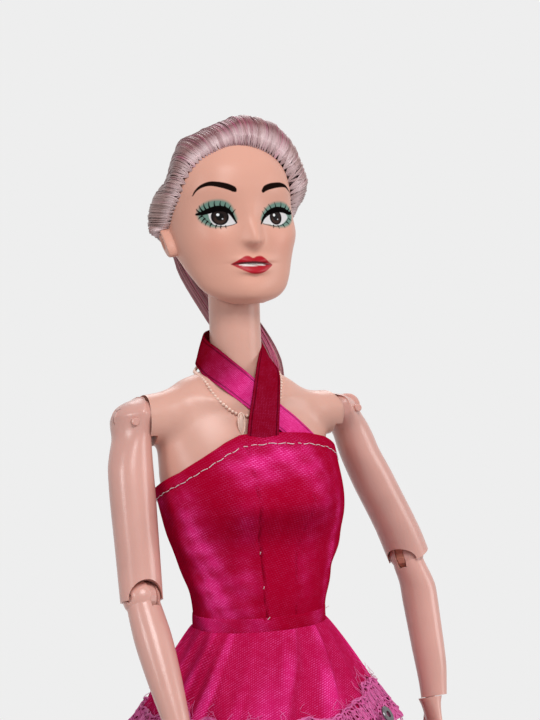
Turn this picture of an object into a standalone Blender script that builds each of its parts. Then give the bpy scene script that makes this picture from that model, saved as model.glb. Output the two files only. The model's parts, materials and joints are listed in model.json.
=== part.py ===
"""A jointed fashion doll, about a sixth of life size, in a satin halter dress with a tiered skirt.

The doll stands on the floor, faces -Y, and its own left is +X. Lengths are in metres.
"""

import math

import bmesh
import bpy
from mathutils import Matrix, Vector

# Heights and lengths along the body
DOLL_HEIGHT = 0.2920
ANKLE_HEIGHT = DOLL_HEIGHT * 18 / 292
SHIN_LENGTH = DOLL_HEIGHT * 65 / 292
THIGH_LENGTH = DOLL_HEIGHT * 69 / 292
HIP_TO_WAIST = DOLL_HEIGHT * 30 / 292
WAIST_TO_SHOULDER = DOLL_HEIGHT * 47 / 292
SHOULDER_TO_NECK_TOP = DOLL_HEIGHT * 28.5 / 292
HEAD_HEIGHT = 0.0380
CHIN_DROP = 0.0035
CROTCH_DROP = 0.0095

# Widths and depths of the body
HIP_HALF_WIDTH = 0.0203
WAIST_HALF_WIDTH = 0.0138
CHEST_HALF_WIDTH = 0.0204
NECK_RADIUS = 0.0058
HIP_DEPTH = 0.0140
WAIST_DEPTH = 0.0106
CHEST_DEPTH = 0.0125
BUST_RISE = 0.0058
BUST_SPACING = 0.0086
BUST_DROP = 0.0180
BUST_SPREAD = 0.0068
SHOULDER_SETBACK = 0.0055
NECK_SETBACK = 0.0065
WAIST_FORWARD = 0.0012

# Clearances
GAP = 0.0003
HINGE_GAP = 0.0003
SOCKET_GAP = 0.0003
OVERRUN = 0.0020

# Arms
UPPER_ARM_LENGTH = 0.0392
FOREARM_LENGTH = 0.0340
HAND_LENGTH = 0.0185
SHOULDER_BALL = 0.0068
UPPER_ARM_RADIUS = 0.0050
ELBOW_RADIUS = 0.0043
FOREARM_RADIUS = 0.0039
WRIST_RADIUS = 0.0024
ARM_SIDE_CLEARANCE = 0.0006

# Legs
HIP_BALL = 0.0098
HIP_WALL = 0.0016
THIGH_RADIUS = 0.0093
KNEE_RADIUS = 0.0066
CALF_RADIUS = 0.0064
ANKLE_RADIUS = 0.0034

# Hinge hardware: the disc that joins two limbs, its pin and the peg above it
ELBOW_DISC_THICKNESS = 0.0022
ELBOW_PIN_RADIUS = 0.0009
ELBOW_PEG_RADIUS = 0.0014
ELBOW_PEG_LENGTH = 0.0080
KNEE_DISC_THICKNESS = 0.0034
KNEE_PIN_RADIUS = 0.0013
KNEE_PEG_RADIUS = 0.0020
KNEE_PEG_LENGTH = 0.0110
SHOULDER_TONGUE_RADIUS = 0.0032
SHOULDER_TONGUE_THICKNESS = 0.0024
SHOULDER_PEG_RADIUS = 0.0016
SHOULDER_PEG_LENGTH = 0.0100
SHOULDER_PIN_RADIUS = 0.0009
HIP_TONGUE_RADIUS = 0.0048
HIP_TONGUE_THICKNESS = 0.0050
HIP_SLEEVE_RADIUS = 0.0025
HIP_BAR_RADIUS = 0.0013
HIP_PIN_RADIUS = 0.0013
WRIST_PEG_RADIUS = 0.0011
WRIST_PEG_LENGTH = 0.0040

# Neck knob
KNOB_PEG_RADIUS = 0.0024
KNOB_PEG_LENGTH = 0.0090
KNOB_STEM_RADIUS = 0.0016
KNOB_STEM_LENGTH = 0.0030
KNOB_DISC_RADIUS = 0.0046
KNOB_DISC_THICKNESS = 0.0016

# Head and hair
HEAD_HALF_WIDTH = 0.0136
FACE_DEPTH = 0.0108
SKULL_DEPTH = 0.0170
NOSE_RISE = 0.0034
LIP_RISE = 0.0010
CHIN_RISE = 0.0008
EYE_SPACING = 0.0072
EAR_RISE = 0.0015
EAR_SETBACK = 0.0050
HAIR_THICKNESS = 0.0036
HAIRLINE_THICKNESS = 0.0007
HAIR_GAP = 0.0011
TIE_RADIUS = 0.0036
TIE_THICKNESS = 0.0011
PONYTAIL_HALF_WIDTH = 0.0056
PONYTAIL_HALF_DEPTH = 0.0038
PONYTAIL_LENGTH = 0.0560

# Dress
CLOTH = 0.0006
DRESS_GAP = 0.0007
BODICE_FRONT_RISE = 0.0415
BODICE_SIDE_RISE = 0.0295
WAISTBAND_HEIGHT = 0.0046
WAISTBAND_DROP = 0.0012
SKIRT_TIER_LENGTH = 0.0195
SKIRT_FLARE = 0.0125
PLEAT_DEPTH = 0.0014
PLEAT_COUNT = 18
RUFFLE_LENGTH = 0.0190
RUFFLE_FLARE = 0.0085
RUFFLE_DEPTH = 0.0017
RUFFLE_COUNT = 18
LACE_HEIGHT = 0.0092
LACE_THICKNESS = 0.0004
LACE_DROP = 0.0012
LACE_SCALLOP = 0.0006
RIBBON_WIDTH = 0.0064
RIBBON_THICKNESS = 0.0004
SEQUIN_RADIUS = 0.0020
SEQUIN_HOLE = 0.0008
SEQUIN_THICKNESS = 0.0006
TAB_WIDTH = 0.0060
TAB_THICKNESS = 0.0008

# Shoes
SOLE_THICKNESS = 0.0012
SHOE_WALL = 0.0007
SHOE_LENGTH = 0.0245
HEEL_HEIGHT = 0.0125
HEEL_TOP_RADIUS = 0.0030
HEEL_TIP_RADIUS = 0.0017
FOOT_HALF_WIDTH = 0.0040

# Levels that follow from the lengths above
KNEE_Z = ANKLE_HEIGHT + SHIN_LENGTH
HIP_Z = KNEE_Z + THIGH_LENGTH
WAIST_Z = HIP_Z + HIP_TO_WAIST
SHOULDER_Z = WAIST_Z + WAIST_TO_SHOULDER
NECK_TOP_Z = SHOULDER_Z + SHOULDER_TO_NECK_TOP
CHIN_Z = NECK_TOP_Z - CHIN_DROP
CROTCH_Z = HIP_Z - CROTCH_DROP
HIP_X = HIP_BALL + HIP_WALL + SOCKET_GAP
SHOULDER_X = CHEST_HALF_WIDTH + DRESS_GAP + CLOTH + ARM_SIDE_CLEARANCE + UPPER_ARM_RADIUS
SEAM_X = SHOULDER_X - SHOULDER_BALL * 0.80

# The pose at rest: directions of the limbs as shares of one length
RIGHT_UPPER_ARM_SHARE = (-0.052, -0.280, -0.959)
RIGHT_FOREARM_SHARE = (0.060, -0.500, -0.864)
LEFT_UPPER_ARM_SHARE = (0.390, 0.030, -0.920)
LEFT_FOREARM_SHARE = (0.000, -0.270, -0.963)

# How far the joints turn from the pose at rest, in degrees
RIGHT_ARM_LIFT = (-1, 34)
LEFT_ARM_LIFT = (-14, 20)
RIGHT_ELBOW_TURN = 90
LEFT_ELBOW_TURN = -75
HIP_SPREAD = (-2, 30)
HIP_SWING = (-25, 60)
HEAD_NOD = 14
FREE_PLAY = 2

# How steeply the end of a limb is cut back on the side to which the next one bends
BEND_RELIEF_SHARE = 0.5

# Faces around and along the shapes
BODY_SIDES = 28
LIMB_SIDES = 16
KNUCKLE_SIDES = 20
BALL_SIDES = 20
HEAD_SIDES = 36
HEAD_RINGS = 24
HAIR_SIDES = 32
HAIR_RINGS = 7
RIBBON_STEPS = 42

FRONT_ANGLE = -math.pi / 2
X_AXIS = Vector((1, 0, 0))
Y_AXIS = Vector((0, 1, 0))
Z_AXIS = Vector((0, 0, 1))

SKIN = ("skin", (0.78, 0.46, 0.36), 0.34, 0)
FACE_SKIN = ("face_vinyl", (0.80, 0.47, 0.36), 0.42, 0)
LINK_SKIN = ("link_plastic", (0.83, 0.42, 0.30), 0.35, 0)
HAIR = ("hair", (0.72, 0.60, 0.64), 0.35, 0)
SATIN = ("satin", (0.62, 0.0, 0.09), 0.30, 0)
PINK_LACE = ("lace", (0.70, 0.12, 0.33), 0.70, 0)
METAL = ("metal", (0.55, 0.52, 0.52), 0.30, 1)
SHOE = ("shoe_plastic", (0.70, 0.03, 0.20), 0.30, 0)
ELASTIC = ("elastic", (0.60, 0.25, 0.40), 0.60, 0)
HOOK_TAPE = ("hook_tape", (0.75, 0.10, 0.30), 0.80, 0)


def clear_scene():
    for item in list(bpy.context.scene.objects):
        bpy.data.objects.remove(item, do_unlink=True)


def material(look):
    name, colour, roughness, metallic = look
    found = bpy.data.materials.get(name)
    if found:
        return found
    made = bpy.data.materials.new(name)
    made.use_nodes = True
    shader = made.node_tree.nodes["Principled BSDF"]
    shader.inputs["Base Color"].default_value = (*colour, 1)
    shader.inputs["Roughness"].default_value = roughness
    shader.inputs["Metallic"].default_value = metallic
    return made


def new_object(name, mesh_data, look):
    """An object from a bmesh, with its faces turned outwards and shaded smooth."""
    bmesh.ops.recalc_face_normals(mesh_data, faces=mesh_data.faces)
    mesh = bpy.data.meshes.new(name)
    mesh_data.to_mesh(mesh)
    mesh_data.free()
    mesh.shade_smooth()
    mesh.set_sharp_from_angle(angle=math.radians(38))
    made = bpy.data.objects.new(name, mesh)
    bpy.context.scene.collection.objects.link(made)
    if look:
        made.data.materials.append(material(look))
    return made


def loft(rings):
    """A closed solid through rings of equally many points, capped at both ends."""
    shape = bmesh.new()
    loops = []
    for ring in rings:
        loops.append([shape.verts.new(point) for point in ring])
    count = len(loops[0])
    for lower, upper in zip(loops, loops[1:]):
        for i in range(count):
            j = (i + 1) % count
            shape.faces.new((lower[i], lower[j], upper[j], upper[i]))
    shape.faces.new(list(reversed(loops[0])))
    shape.faces.new(loops[-1])
    return shape


def shell(outer, inner):
    """A closed band between two stacks of rings: an outer wall, an inner wall and two rims."""
    shape = bmesh.new()
    walls = []
    for rings in (outer, inner):
        walls.append([[shape.verts.new(point) for point in ring] for ring in rings])
    outside, inside = walls
    loops = outside + list(reversed(inside))
    count = len(loops[0])
    for k, lower in enumerate(loops):
        upper = loops[(k + 1) % len(loops)]
        for i in range(count):
            j = (i + 1) % count
            shape.faces.new((lower[i], lower[j], upper[j], upper[i]))
    return shape


def frame_of(axis, side):
    """Unit vectors (side, other, axis), with side made square to axis."""
    along = axis.normalized()
    across = (side - along * side.dot(along)).normalized()
    return across, along.cross(across), along


def limb_rings(start, axis, side, stations, sides=LIMB_SIDES):
    """Rings square to a limb; a station is (distance, radius across, radius other way, shift)."""
    across, other, along = frame_of(axis, side)
    rings = []
    for distance, wide, deep, shift in stations:
        middle = start + along * distance + other * shift
        ring = []
        for i in range(sides):
            turn = 2 * math.pi * i / sides
            ring.append(middle + across * (wide * math.cos(turn)) + other * (deep * math.sin(turn)))
        rings.append(ring)
    return rings


def turned(name, profile, middle, axis, look=None, sides=LIMB_SIDES):
    """A turned solid; profile is (distance along the axis, radius), first to last."""
    side = X_AXIS if abs(axis.normalized().x) < 0.8 else Y_AXIS
    stations = [(distance, radius, radius, 0) for distance, radius in profile]
    return new_object(name, loft(limb_rings(middle, axis, side, stations, sides)), look)


def rounded_rod(name, middle, axis, low, high, radius, look=None, sides=LIMB_SIDES, edge_share=0.2):
    """A rod from low to high along the axis, with softened rims."""
    edge = radius * edge_share
    profile = (
        (low, radius - edge),
        (low + edge, radius),
        (high - edge, radius),
        (high, radius - edge),
    )
    return turned(name, profile, middle, axis, look, sides)


def ball(name, middle, radius, look=None, sides=BALL_SIDES):
    rings = 9
    profile = []
    for k in range(rings):
        turn = math.pi * (k + 0.35) / (rings - 0.3)
        profile.append((-radius * math.cos(turn), radius * math.sin(turn)))
    return turned(name, profile, middle, Z_AXIS, look, sides)


def prism(name, middle, axis, outline, half_thickness, side):
    """An extruded outline; its points are (along side, along the other direction)."""
    across, other, along = frame_of(axis, side)
    rings = []
    for level in (-half_thickness, half_thickness):
        rings.append([middle + across * a + other * b + along * level for a, b in outline])
    return new_object(name, loft(rings), None)


def combine(target, tool, operation):
    """Apply a Boolean of tool to target, and remove the tool."""
    step = target.modifiers.new(operation.lower(), "BOOLEAN")
    step.operation = operation
    step.solver = "EXACT"
    step.object = tool
    bpy.context.view_layer.update()
    graph = bpy.context.evaluated_depsgraph_get()
    result = bpy.data.meshes.new_from_object(target.evaluated_get(graph))
    target.modifiers.clear()
    old = target.data
    target.data = result
    result.name = target.name
    bpy.data.meshes.remove(old)
    spent = tool.data
    bpy.data.objects.remove(tool, do_unlink=True)
    bpy.data.meshes.remove(spent)
    result.set_sharp_from_angle(angle=math.radians(38))


def cut(target, tool):
    combine(target, tool, "DIFFERENCE")


def join(target, tool):
    combine(target, tool, "UNION")


def keep_side(target, point, normal):
    """Keep the half of a solid that the normal points away from, and close the cut."""
    shape = bmesh.new()
    shape.from_mesh(target.data)
    cut_through = bmesh.ops.bisect_plane(
        shape,
        geom=shape.verts[:] + shape.edges[:] + shape.faces[:],
        plane_co=point,
        plane_no=normal,
        clear_outer=True,
    )
    edges = [item for item in cut_through["geom_cut"] if isinstance(item, bmesh.types.BMEdge)]
    bmesh.ops.holes_fill(shape, edges=edges, sides=0)
    bmesh.ops.recalc_face_normals(shape, faces=shape.faces)
    shape.to_mesh(target.data)
    shape.free()


def curve_value(rows, at, column):
    """A smooth curve through a column of a table, by height in its first column."""
    last = len(rows) - 1
    if at <= rows[0][0]:
        return rows[0][column]
    if at >= rows[last][0]:
        return rows[last][column]
    k = 0
    while rows[k + 1][0] < at:
        k += 1

    def slope(i):
        low = max(i - 1, 0)
        high = min(i + 1, last)
        return (rows[high][column] - rows[low][column]) / (rows[high][0] - rows[low][0])

    span = rows[k + 1][0] - rows[k][0]
    t = (at - rows[k][0]) / span
    start = rows[k][column] * (2 * t**3 - 3 * t**2 + 1) + slope(k) * span * (t**3 - 2 * t**2 + t)
    return start + rows[k + 1][column] * (3 * t**2 - 2 * t**3) + slope(k + 1) * span * (t**3 - t**2)


def power_of(value, power):
    return math.copysign(abs(value) ** power, value)


def bell(value, spread):
    return math.exp(-((value / spread) ** 2))


# Body outline: height, half width, depth in front, depth behind, middle
TORSO_ROWS = (
    (CROTCH_Z, HIP_HALF_WIDTH * 0.30, HIP_DEPTH * 0.50, HIP_DEPTH * 0.50, 0),
    (HIP_Z - CROTCH_DROP * 0.60, HIP_HALF_WIDTH * 0.66, HIP_DEPTH * 0.74, HIP_DEPTH * 0.82, 0),
    (HIP_Z, HIP_HALF_WIDTH * 0.90, HIP_DEPTH * 0.88, HIP_DEPTH * 1.06, 0),
    (HIP_Z + HIP_TO_WAIST * 0.26, HIP_HALF_WIDTH, HIP_DEPTH * 0.92, HIP_DEPTH * 1.12, 0),
    (HIP_Z + HIP_TO_WAIST * 0.52, HIP_HALF_WIDTH * 0.92, HIP_DEPTH * 0.90, HIP_DEPTH * 0.98, 0),
    (HIP_Z + HIP_TO_WAIST * 0.78, WAIST_HALF_WIDTH * 1.10, WAIST_DEPTH * 1.08, WAIST_DEPTH * 1.06,
     -WAIST_FORWARD * 0.5),
    (WAIST_Z, WAIST_HALF_WIDTH, WAIST_DEPTH, WAIST_DEPTH * 0.96, -WAIST_FORWARD),
    (WAIST_Z + WAIST_TO_SHOULDER * 0.17, WAIST_HALF_WIDTH * 1.05, WAIST_DEPTH * 1.06, WAIST_DEPTH,
     -WAIST_FORWARD),
    (WAIST_Z + WAIST_TO_SHOULDER * 0.38, CHEST_HALF_WIDTH * 0.86, CHEST_DEPTH,
     CHEST_DEPTH * 0.86, SHOULDER_SETBACK * 0.15),
    (WAIST_Z + WAIST_TO_SHOULDER * 0.58, CHEST_HALF_WIDTH * 0.97, CHEST_DEPTH * 1.08,
     CHEST_DEPTH * 0.86, SHOULDER_SETBACK * 0.40),
    (WAIST_Z + WAIST_TO_SHOULDER * 0.74, CHEST_HALF_WIDTH, CHEST_DEPTH,
     CHEST_DEPTH * 0.84, SHOULDER_SETBACK * 0.66),
    (WAIST_Z + WAIST_TO_SHOULDER * 0.89, CHEST_HALF_WIDTH * 0.99, CHEST_DEPTH * 0.84,
     CHEST_DEPTH * 0.78, SHOULDER_SETBACK * 0.88),
    (SHOULDER_Z, CHEST_HALF_WIDTH * 0.97, CHEST_DEPTH * 0.70, CHEST_DEPTH * 0.66, SHOULDER_SETBACK),
    (SHOULDER_Z + SHOULDER_TO_NECK_TOP * 0.14, CHEST_HALF_WIDTH * 0.95, CHEST_DEPTH * 0.58,
     CHEST_DEPTH * 0.56, SHOULDER_SETBACK),
    (SHOULDER_Z + SHOULDER_TO_NECK_TOP * 0.23, CHEST_HALF_WIDTH * 0.76, CHEST_DEPTH * 0.52,
     CHEST_DEPTH * 0.52, NECK_SETBACK),
    (SHOULDER_Z + SHOULDER_TO_NECK_TOP * 0.32, NECK_RADIUS * 1.64, NECK_RADIUS * 1.06,
     NECK_RADIUS * 1.06, NECK_SETBACK),
    (SHOULDER_Z + SHOULDER_TO_NECK_TOP * 0.43, NECK_RADIUS * 1.10, NECK_RADIUS, NECK_RADIUS,
     NECK_SETBACK),
    (SHOULDER_Z + SHOULDER_TO_NECK_TOP * 0.55, NECK_RADIUS, NECK_RADIUS, NECK_RADIUS, NECK_SETBACK),
    (NECK_TOP_Z, NECK_RADIUS, NECK_RADIUS, NECK_RADIUS, NECK_SETBACK),
)
BUST_Z = SHOULDER_Z - BUST_DROP


def bust_rise(x, z, bridged):
    """How far the chest stands forward; cloth bridges straight between the two sides."""
    across = abs(x) - BUST_SPACING
    if bridged and across < 0:
        across = across * 0.35
    below = z < BUST_Z
    spread = BUST_SPREAD * (0.95 if below else 1.35)
    return BUST_RISE * bell(across, BUST_SPREAD) * bell(z - BUST_Z, spread)


def body_point(z, turn, grow=0.0, bridged=False):
    """A point on the body's skin at a height and a turn about the body, moved out by grow."""
    half_width = curve_value(TORSO_ROWS, z, 1)
    depth = curve_value(TORSO_ROWS, z, 2 if math.sin(turn) < 0 else 3)
    middle = curve_value(TORSO_ROWS, z, 4)
    x = (half_width + grow) * power_of(math.cos(turn), 0.94)
    rise = bust_rise(x, z, bridged) if math.sin(turn) < 0 else 0
    rise *= min(1, 2.2 * abs(math.sin(turn)))
    y = middle + (depth + grow) * power_of(math.sin(turn), 0.94) - rise
    return Vector((x, y, z))


def body_ring(z, grow=0.0, bridged=False, sides=BODY_SIDES):
    return [body_point(z, 2 * math.pi * i / sides, grow, bridged) for i in range(sides)]


def spread_levels(low, high, count):
    return [low + (high - low) * k / (count - 1) for k in range(count)]


def swept_outline(half_width, reach, low, high, steps=7):
    """What a bar from the origin covers as it turns from low to high degrees."""
    turns = [math.radians(low + (high - low) * k / (steps - 1)) for k in range(steps)]
    first = (half_width * math.sin(turns[0]), -half_width * math.cos(turns[0]))
    last = (-half_width * math.sin(turns[-1]), half_width * math.cos(turns[-1]))
    arc = [(reach * math.cos(turn), reach * math.sin(turn)) for turn in turns]
    start = (first[0] + arc[0][0], first[1] + arc[0][1])
    end = (last[0] + arc[-1][0], last[1] + arc[-1][1])
    return [first, start, *arc, end, last]


# Joint centres
def mirrored(side, x, y, z):
    return Vector((side * x, y, z))


def shoulder_centre(side):
    return mirrored(side, SHOULDER_X, SHOULDER_SETBACK, SHOULDER_Z)


def hip_centre(side):
    return mirrored(side, HIP_X, 0, HIP_Z)


NECK_PIVOT = Vector((0, NECK_SETBACK, NECK_TOP_Z))


def arm_pose(side):
    """Joint centres and directions of one arm: shoulder, elbow, wrist, both limbs, hinge axis."""
    upper_share = LEFT_UPPER_ARM_SHARE if side > 0 else RIGHT_UPPER_ARM_SHARE
    fore_share = LEFT_FOREARM_SHARE if side > 0 else RIGHT_FOREARM_SHARE
    upper = Vector(upper_share).normalized()
    fore = Vector(fore_share).normalized()
    shoulder = shoulder_centre(side)
    elbow = shoulder + upper * UPPER_ARM_LENGTH
    wrist = elbow + fore * FOREARM_LENGTH
    hinge = upper.cross(fore).normalized()
    return shoulder, elbow, wrist, upper, fore, hinge


def torso_tools():
    """Cutters that both torso halves share: sockets, bores and the neck's seat."""
    tools = []
    for side in (-1, 1):
        shoulder = shoulder_centre(side)
        tools.append(ball("tool", shoulder, SHOULDER_BALL + SOCKET_GAP))
        reach = SHOULDER_BALL + SHOULDER_PEG_LENGTH + GAP
        bore = SHOULDER_PEG_RADIUS + HINGE_GAP
        tools.append(turned("tool", ((0, bore), (reach, bore)), shoulder, -X_AXIS * side))
        outer = SHOULDER_BALL * 2
        seam = Vector((side * SEAM_X, shoulder.y, shoulder.z))
        tools.append(turned("tool", ((0, outer), (outer, outer)), seam, X_AXIS * side))
        tools.append(ball("tool", hip_centre(side), HIP_BALL + SOCKET_GAP))
        sleeve = HIP_SLEEVE_RADIUS + HINGE_GAP
        tools.append(turned("tool", ((HIP_WALL - GAP, sleeve), (HIP_X, sleeve)),
                            Vector((0, 0, HIP_Z)), X_AXIS * side))
        sweep = swept_outline(HIP_BALL * 1.05 + SOCKET_GAP, HIP_BALL * 4, -HIP_SWING[1], -HIP_SWING[0])
        half = HIP_HALF_WIDTH
        slab = Vector((side * (HIP_WALL + half), 0, HIP_Z))
        tools.append(prism("tool", slab, X_AXIS, sweep, half, -Z_AXIS))
    bore = HIP_BAR_RADIUS + HINGE_GAP
    reach = HIP_X
    tools.append(turned("tool", ((-reach, bore), (reach, bore)), Vector((0, 0, HIP_Z)), X_AXIS))
    peg = KNOB_PEG_RADIUS + HINGE_GAP
    depth = KNOB_PEG_LENGTH + GAP
    tools.append(turned("tool", ((-depth, peg), (OVERRUN, peg)), NECK_PIVOT, Z_AXIS))
    return tools


# Rows of the bodice, close together over the bust, as shares of its height
BODICE_ROW_SHARES = (0, 0.14, 0.28, 0.42, 0.54, 0.64, 0.74, 0.86, 1)
BODICE_LOW_Z = WAIST_Z - WAISTBAND_DROP + WAISTBAND_HEIGHT + GAP


def bodice_level(rise, share):
    return BODICE_LOW_Z + (WAIST_Z + rise - BODICE_LOW_Z) * share


def torso_block(name):
    levels = spread_levels(CROTCH_Z, HIP_Z, 4)[:-1]
    levels += spread_levels(HIP_Z, WAIST_Z, 5)[:-1]
    levels += [WAIST_Z + WAISTBAND_HEIGHT * 0.4]
    levels += [bodice_level(BODICE_FRONT_RISE, share) for share in BODICE_ROW_SHARES]
    levels += spread_levels(SHOULDER_Z, SHOULDER_Z + SHOULDER_TO_NECK_TOP * 0.5, 7)
    levels.append(NECK_TOP_Z - GAP)
    made = new_object(name, loft([body_ring(z) for z in levels]), SKIN)
    for side in (-1, 1):
        rim = SHOULDER_BALL * 0.93
        middle = Vector((0, SHOULDER_SETBACK, SHOULDER_Z))
        profile = (
            (SHOULDER_X * 0.45, rim * 0.80),
            (SHOULDER_X * 0.60, rim),
            (SHOULDER_X * 0.72, rim),
            (SHOULDER_X, rim * 0.94),
        )
        join(made, turned("tool", profile, middle, X_AXIS * side))
    for tool in torso_tools():
        cut(made, tool)
    return made


def make_torso():
    """The two halves of the hard torso, split along the shoulder joints' plane."""
    seam = Vector((0, SHOULDER_SETBACK, 0))
    front = torso_block("torso_front")
    back = front.copy()
    back.data = front.data.copy()
    back.name = "torso_back"
    bpy.context.scene.collection.objects.link(back)
    keep_side(front, seam - Y_AXIS * (GAP / 2), Y_AXIS)
    keep_side(back, seam + Y_AXIS * (GAP / 2), -Y_AXIS)
    bar_reach = HIP_X - HIP_TONGUE_RADIUS * 0.5
    bar = rounded_rod("hip_bar", Vector((0, 0, HIP_Z)), X_AXIS, -bar_reach, bar_reach,
                      HIP_BAR_RADIUS, METAL, 12)
    return [front, back, bar]


def make_neck_knob():
    """The knob that plugs into the neck and holds the head: peg, dome, stem and disc."""
    profile = [(-KNOB_PEG_LENGTH, KNOB_PEG_RADIUS * 0.8), (-KNOB_PEG_LENGTH * 0.94, KNOB_PEG_RADIUS),
               (0, KNOB_PEG_RADIUS), (GAP * 0.1, NECK_RADIUS)]
    steps = 6
    for k in range(1, steps):
        turn = math.pi / 2 * k / steps
        if NECK_RADIUS * math.cos(turn) > KNOB_STEM_RADIUS:
            profile.append((NECK_RADIUS * math.sin(turn), NECK_RADIUS * math.cos(turn)))
    top = NECK_RADIUS + KNOB_STEM_LENGTH
    profile += [(NECK_RADIUS * 0.97, KNOB_STEM_RADIUS), (top, KNOB_STEM_RADIUS),
                (top + GAP * 0.1, KNOB_DISC_RADIUS), (top + KNOB_DISC_THICKNESS, KNOB_DISC_RADIUS),
                (top + KNOB_DISC_THICKNESS * 1.5, KNOB_DISC_RADIUS * 0.7)]
    return turned("neck_knob", profile, NECK_PIVOT, Z_AXIS, LINK_SKIN, 20)


# Head outline: height, half width, reach in front of the neck's axis, reach behind it
HEAD_ROWS = (
    (CHIN_Z, HEAD_HALF_WIDTH * 0.14, FACE_DEPTH * 0.80, -FACE_DEPTH * 0.58),
    (CHIN_Z + HEAD_HEIGHT * 0.03, HEAD_HALF_WIDTH * 0.41, FACE_DEPTH * 0.95, -FACE_DEPTH * 0.30),
    (CHIN_Z + HEAD_HEIGHT * 0.08, HEAD_HALF_WIDTH * 0.65, FACE_DEPTH * 1.01, FACE_DEPTH * 0.02),
    (CHIN_Z + HEAD_HEIGHT * 0.15, HEAD_HALF_WIDTH * 0.80, FACE_DEPTH * 1.02, SKULL_DEPTH * 0.34),
    (CHIN_Z + HEAD_HEIGHT * 0.24, HEAD_HALF_WIDTH * 0.89, FACE_DEPTH * 1.01, SKULL_DEPTH * 0.62),
    (CHIN_Z + HEAD_HEIGHT * 0.35, HEAD_HALF_WIDTH * 0.95, FACE_DEPTH * 0.99, SKULL_DEPTH * 0.82),
    (CHIN_Z + HEAD_HEIGHT * 0.47, HEAD_HALF_WIDTH * 0.98, FACE_DEPTH * 0.96, SKULL_DEPTH * 0.94),
    (CHIN_Z + HEAD_HEIGHT * 0.57, HEAD_HALF_WIDTH, FACE_DEPTH * 0.96, SKULL_DEPTH),
    (CHIN_Z + HEAD_HEIGHT * 0.69, HEAD_HALF_WIDTH * 0.98, FACE_DEPTH * 0.97, SKULL_DEPTH),
    (CHIN_Z + HEAD_HEIGHT * 0.80, HEAD_HALF_WIDTH * 0.89, FACE_DEPTH * 0.87, SKULL_DEPTH * 0.92),
    (CHIN_Z + HEAD_HEIGHT * 0.90, HEAD_HALF_WIDTH * 0.69, FACE_DEPTH * 0.62, SKULL_DEPTH * 0.73),
    (CHIN_Z + HEAD_HEIGHT * 0.96, HEAD_HALF_WIDTH * 0.46, FACE_DEPTH * 0.34, SKULL_DEPTH * 0.52),
    (CHIN_Z + HEAD_HEIGHT, HEAD_HALF_WIDTH * 0.05, -SKULL_DEPTH * 0.10, SKULL_DEPTH * 0.16),
)
HEAD_MIDDLE = Vector((0, NECK_SETBACK + SKULL_DEPTH * 0.12, CHIN_Z + HEAD_HEIGHT * 0.50))
EYE_Z = CHIN_Z + HEAD_HEIGHT * 0.53
NOSE_Z = CHIN_Z + HEAD_HEIGHT * 0.39
MOUTH_Z = CHIN_Z + HEAD_HEIGHT * 0.245


def inside_head(point):
    """Below 1 inside the plain head, above 1 outside it."""
    if not HEAD_ROWS[0][0] < point.z < HEAD_ROWS[-1][0]:
        return 2
    half_width = curve_value(HEAD_ROWS, point.z, 1)
    front = curve_value(HEAD_ROWS, point.z, 2)
    back = curve_value(HEAD_ROWS, point.z, 3)
    y = point.y - NECK_SETBACK
    middle = (back - front) / 2
    depth = (back + front) / 2
    return (abs(point.x) / half_width) ** 2.3 + (abs(y - middle) / depth) ** 2.3


def face_relief(point):
    """How far nose, lips, chin, cheeks, brows and ears stand out of the plain head."""
    unit = HEAD_HEIGHT / 38
    x = point.x
    relief = EAR_RISE * bell(point.y - NECK_SETBACK - EAR_SETBACK, unit * 2.2) * bell(
        point.z - NOSE_Z - unit, unit * 3.2) * (1 - bell(x, HEAD_HALF_WIDTH * 0.7))
    if point.y > NECK_SETBACK:
        return relief
    above = point.z - NOSE_Z
    bridge = bell(above, unit * (5.2 if above > 0 else 1.3))
    relief += NOSE_RISE * bridge * bell(x, unit * (1.9 - 0.09 * min(max(above / unit, 0), 6)))
    relief += LIP_RISE * bell(x, unit * 3.4) * bell(point.z - MOUTH_Z - unit * 1.0, unit * 1.0)
    relief += LIP_RISE * bell(x, unit * 2.9) * bell(point.z - MOUTH_Z + unit * 1.2, unit * 1.1)
    relief += CHIN_RISE * bell(x, unit * 3.2) * bell(point.z - CHIN_Z - unit * 2.6, unit * 2.2)
    relief += unit * 0.5 * bell(abs(x) - unit * 7.2, unit * 3) * bell(above, unit * 3.2)
    relief -= unit * 0.9 * bell(abs(x) - EYE_SPACING, unit * 3) * bell(point.z - EYE_Z, unit * 2.2)
    return relief


def head_point(direction, grow=0.0, plain=False):
    """Where a ray from the middle of the head leaves it, moved out by grow."""
    low = 0
    high = HEAD_HEIGHT
    for _ in range(24):
        reach = (low + high) / 2
        if inside_head(HEAD_MIDDLE + direction * reach) < 1:
            low = reach
        else:
            high = reach
    surface = HEAD_MIDDLE + direction * low
    relief = 0 if plain else face_relief(surface)
    return HEAD_MIDDLE + direction * (low + relief + grow)


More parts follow.
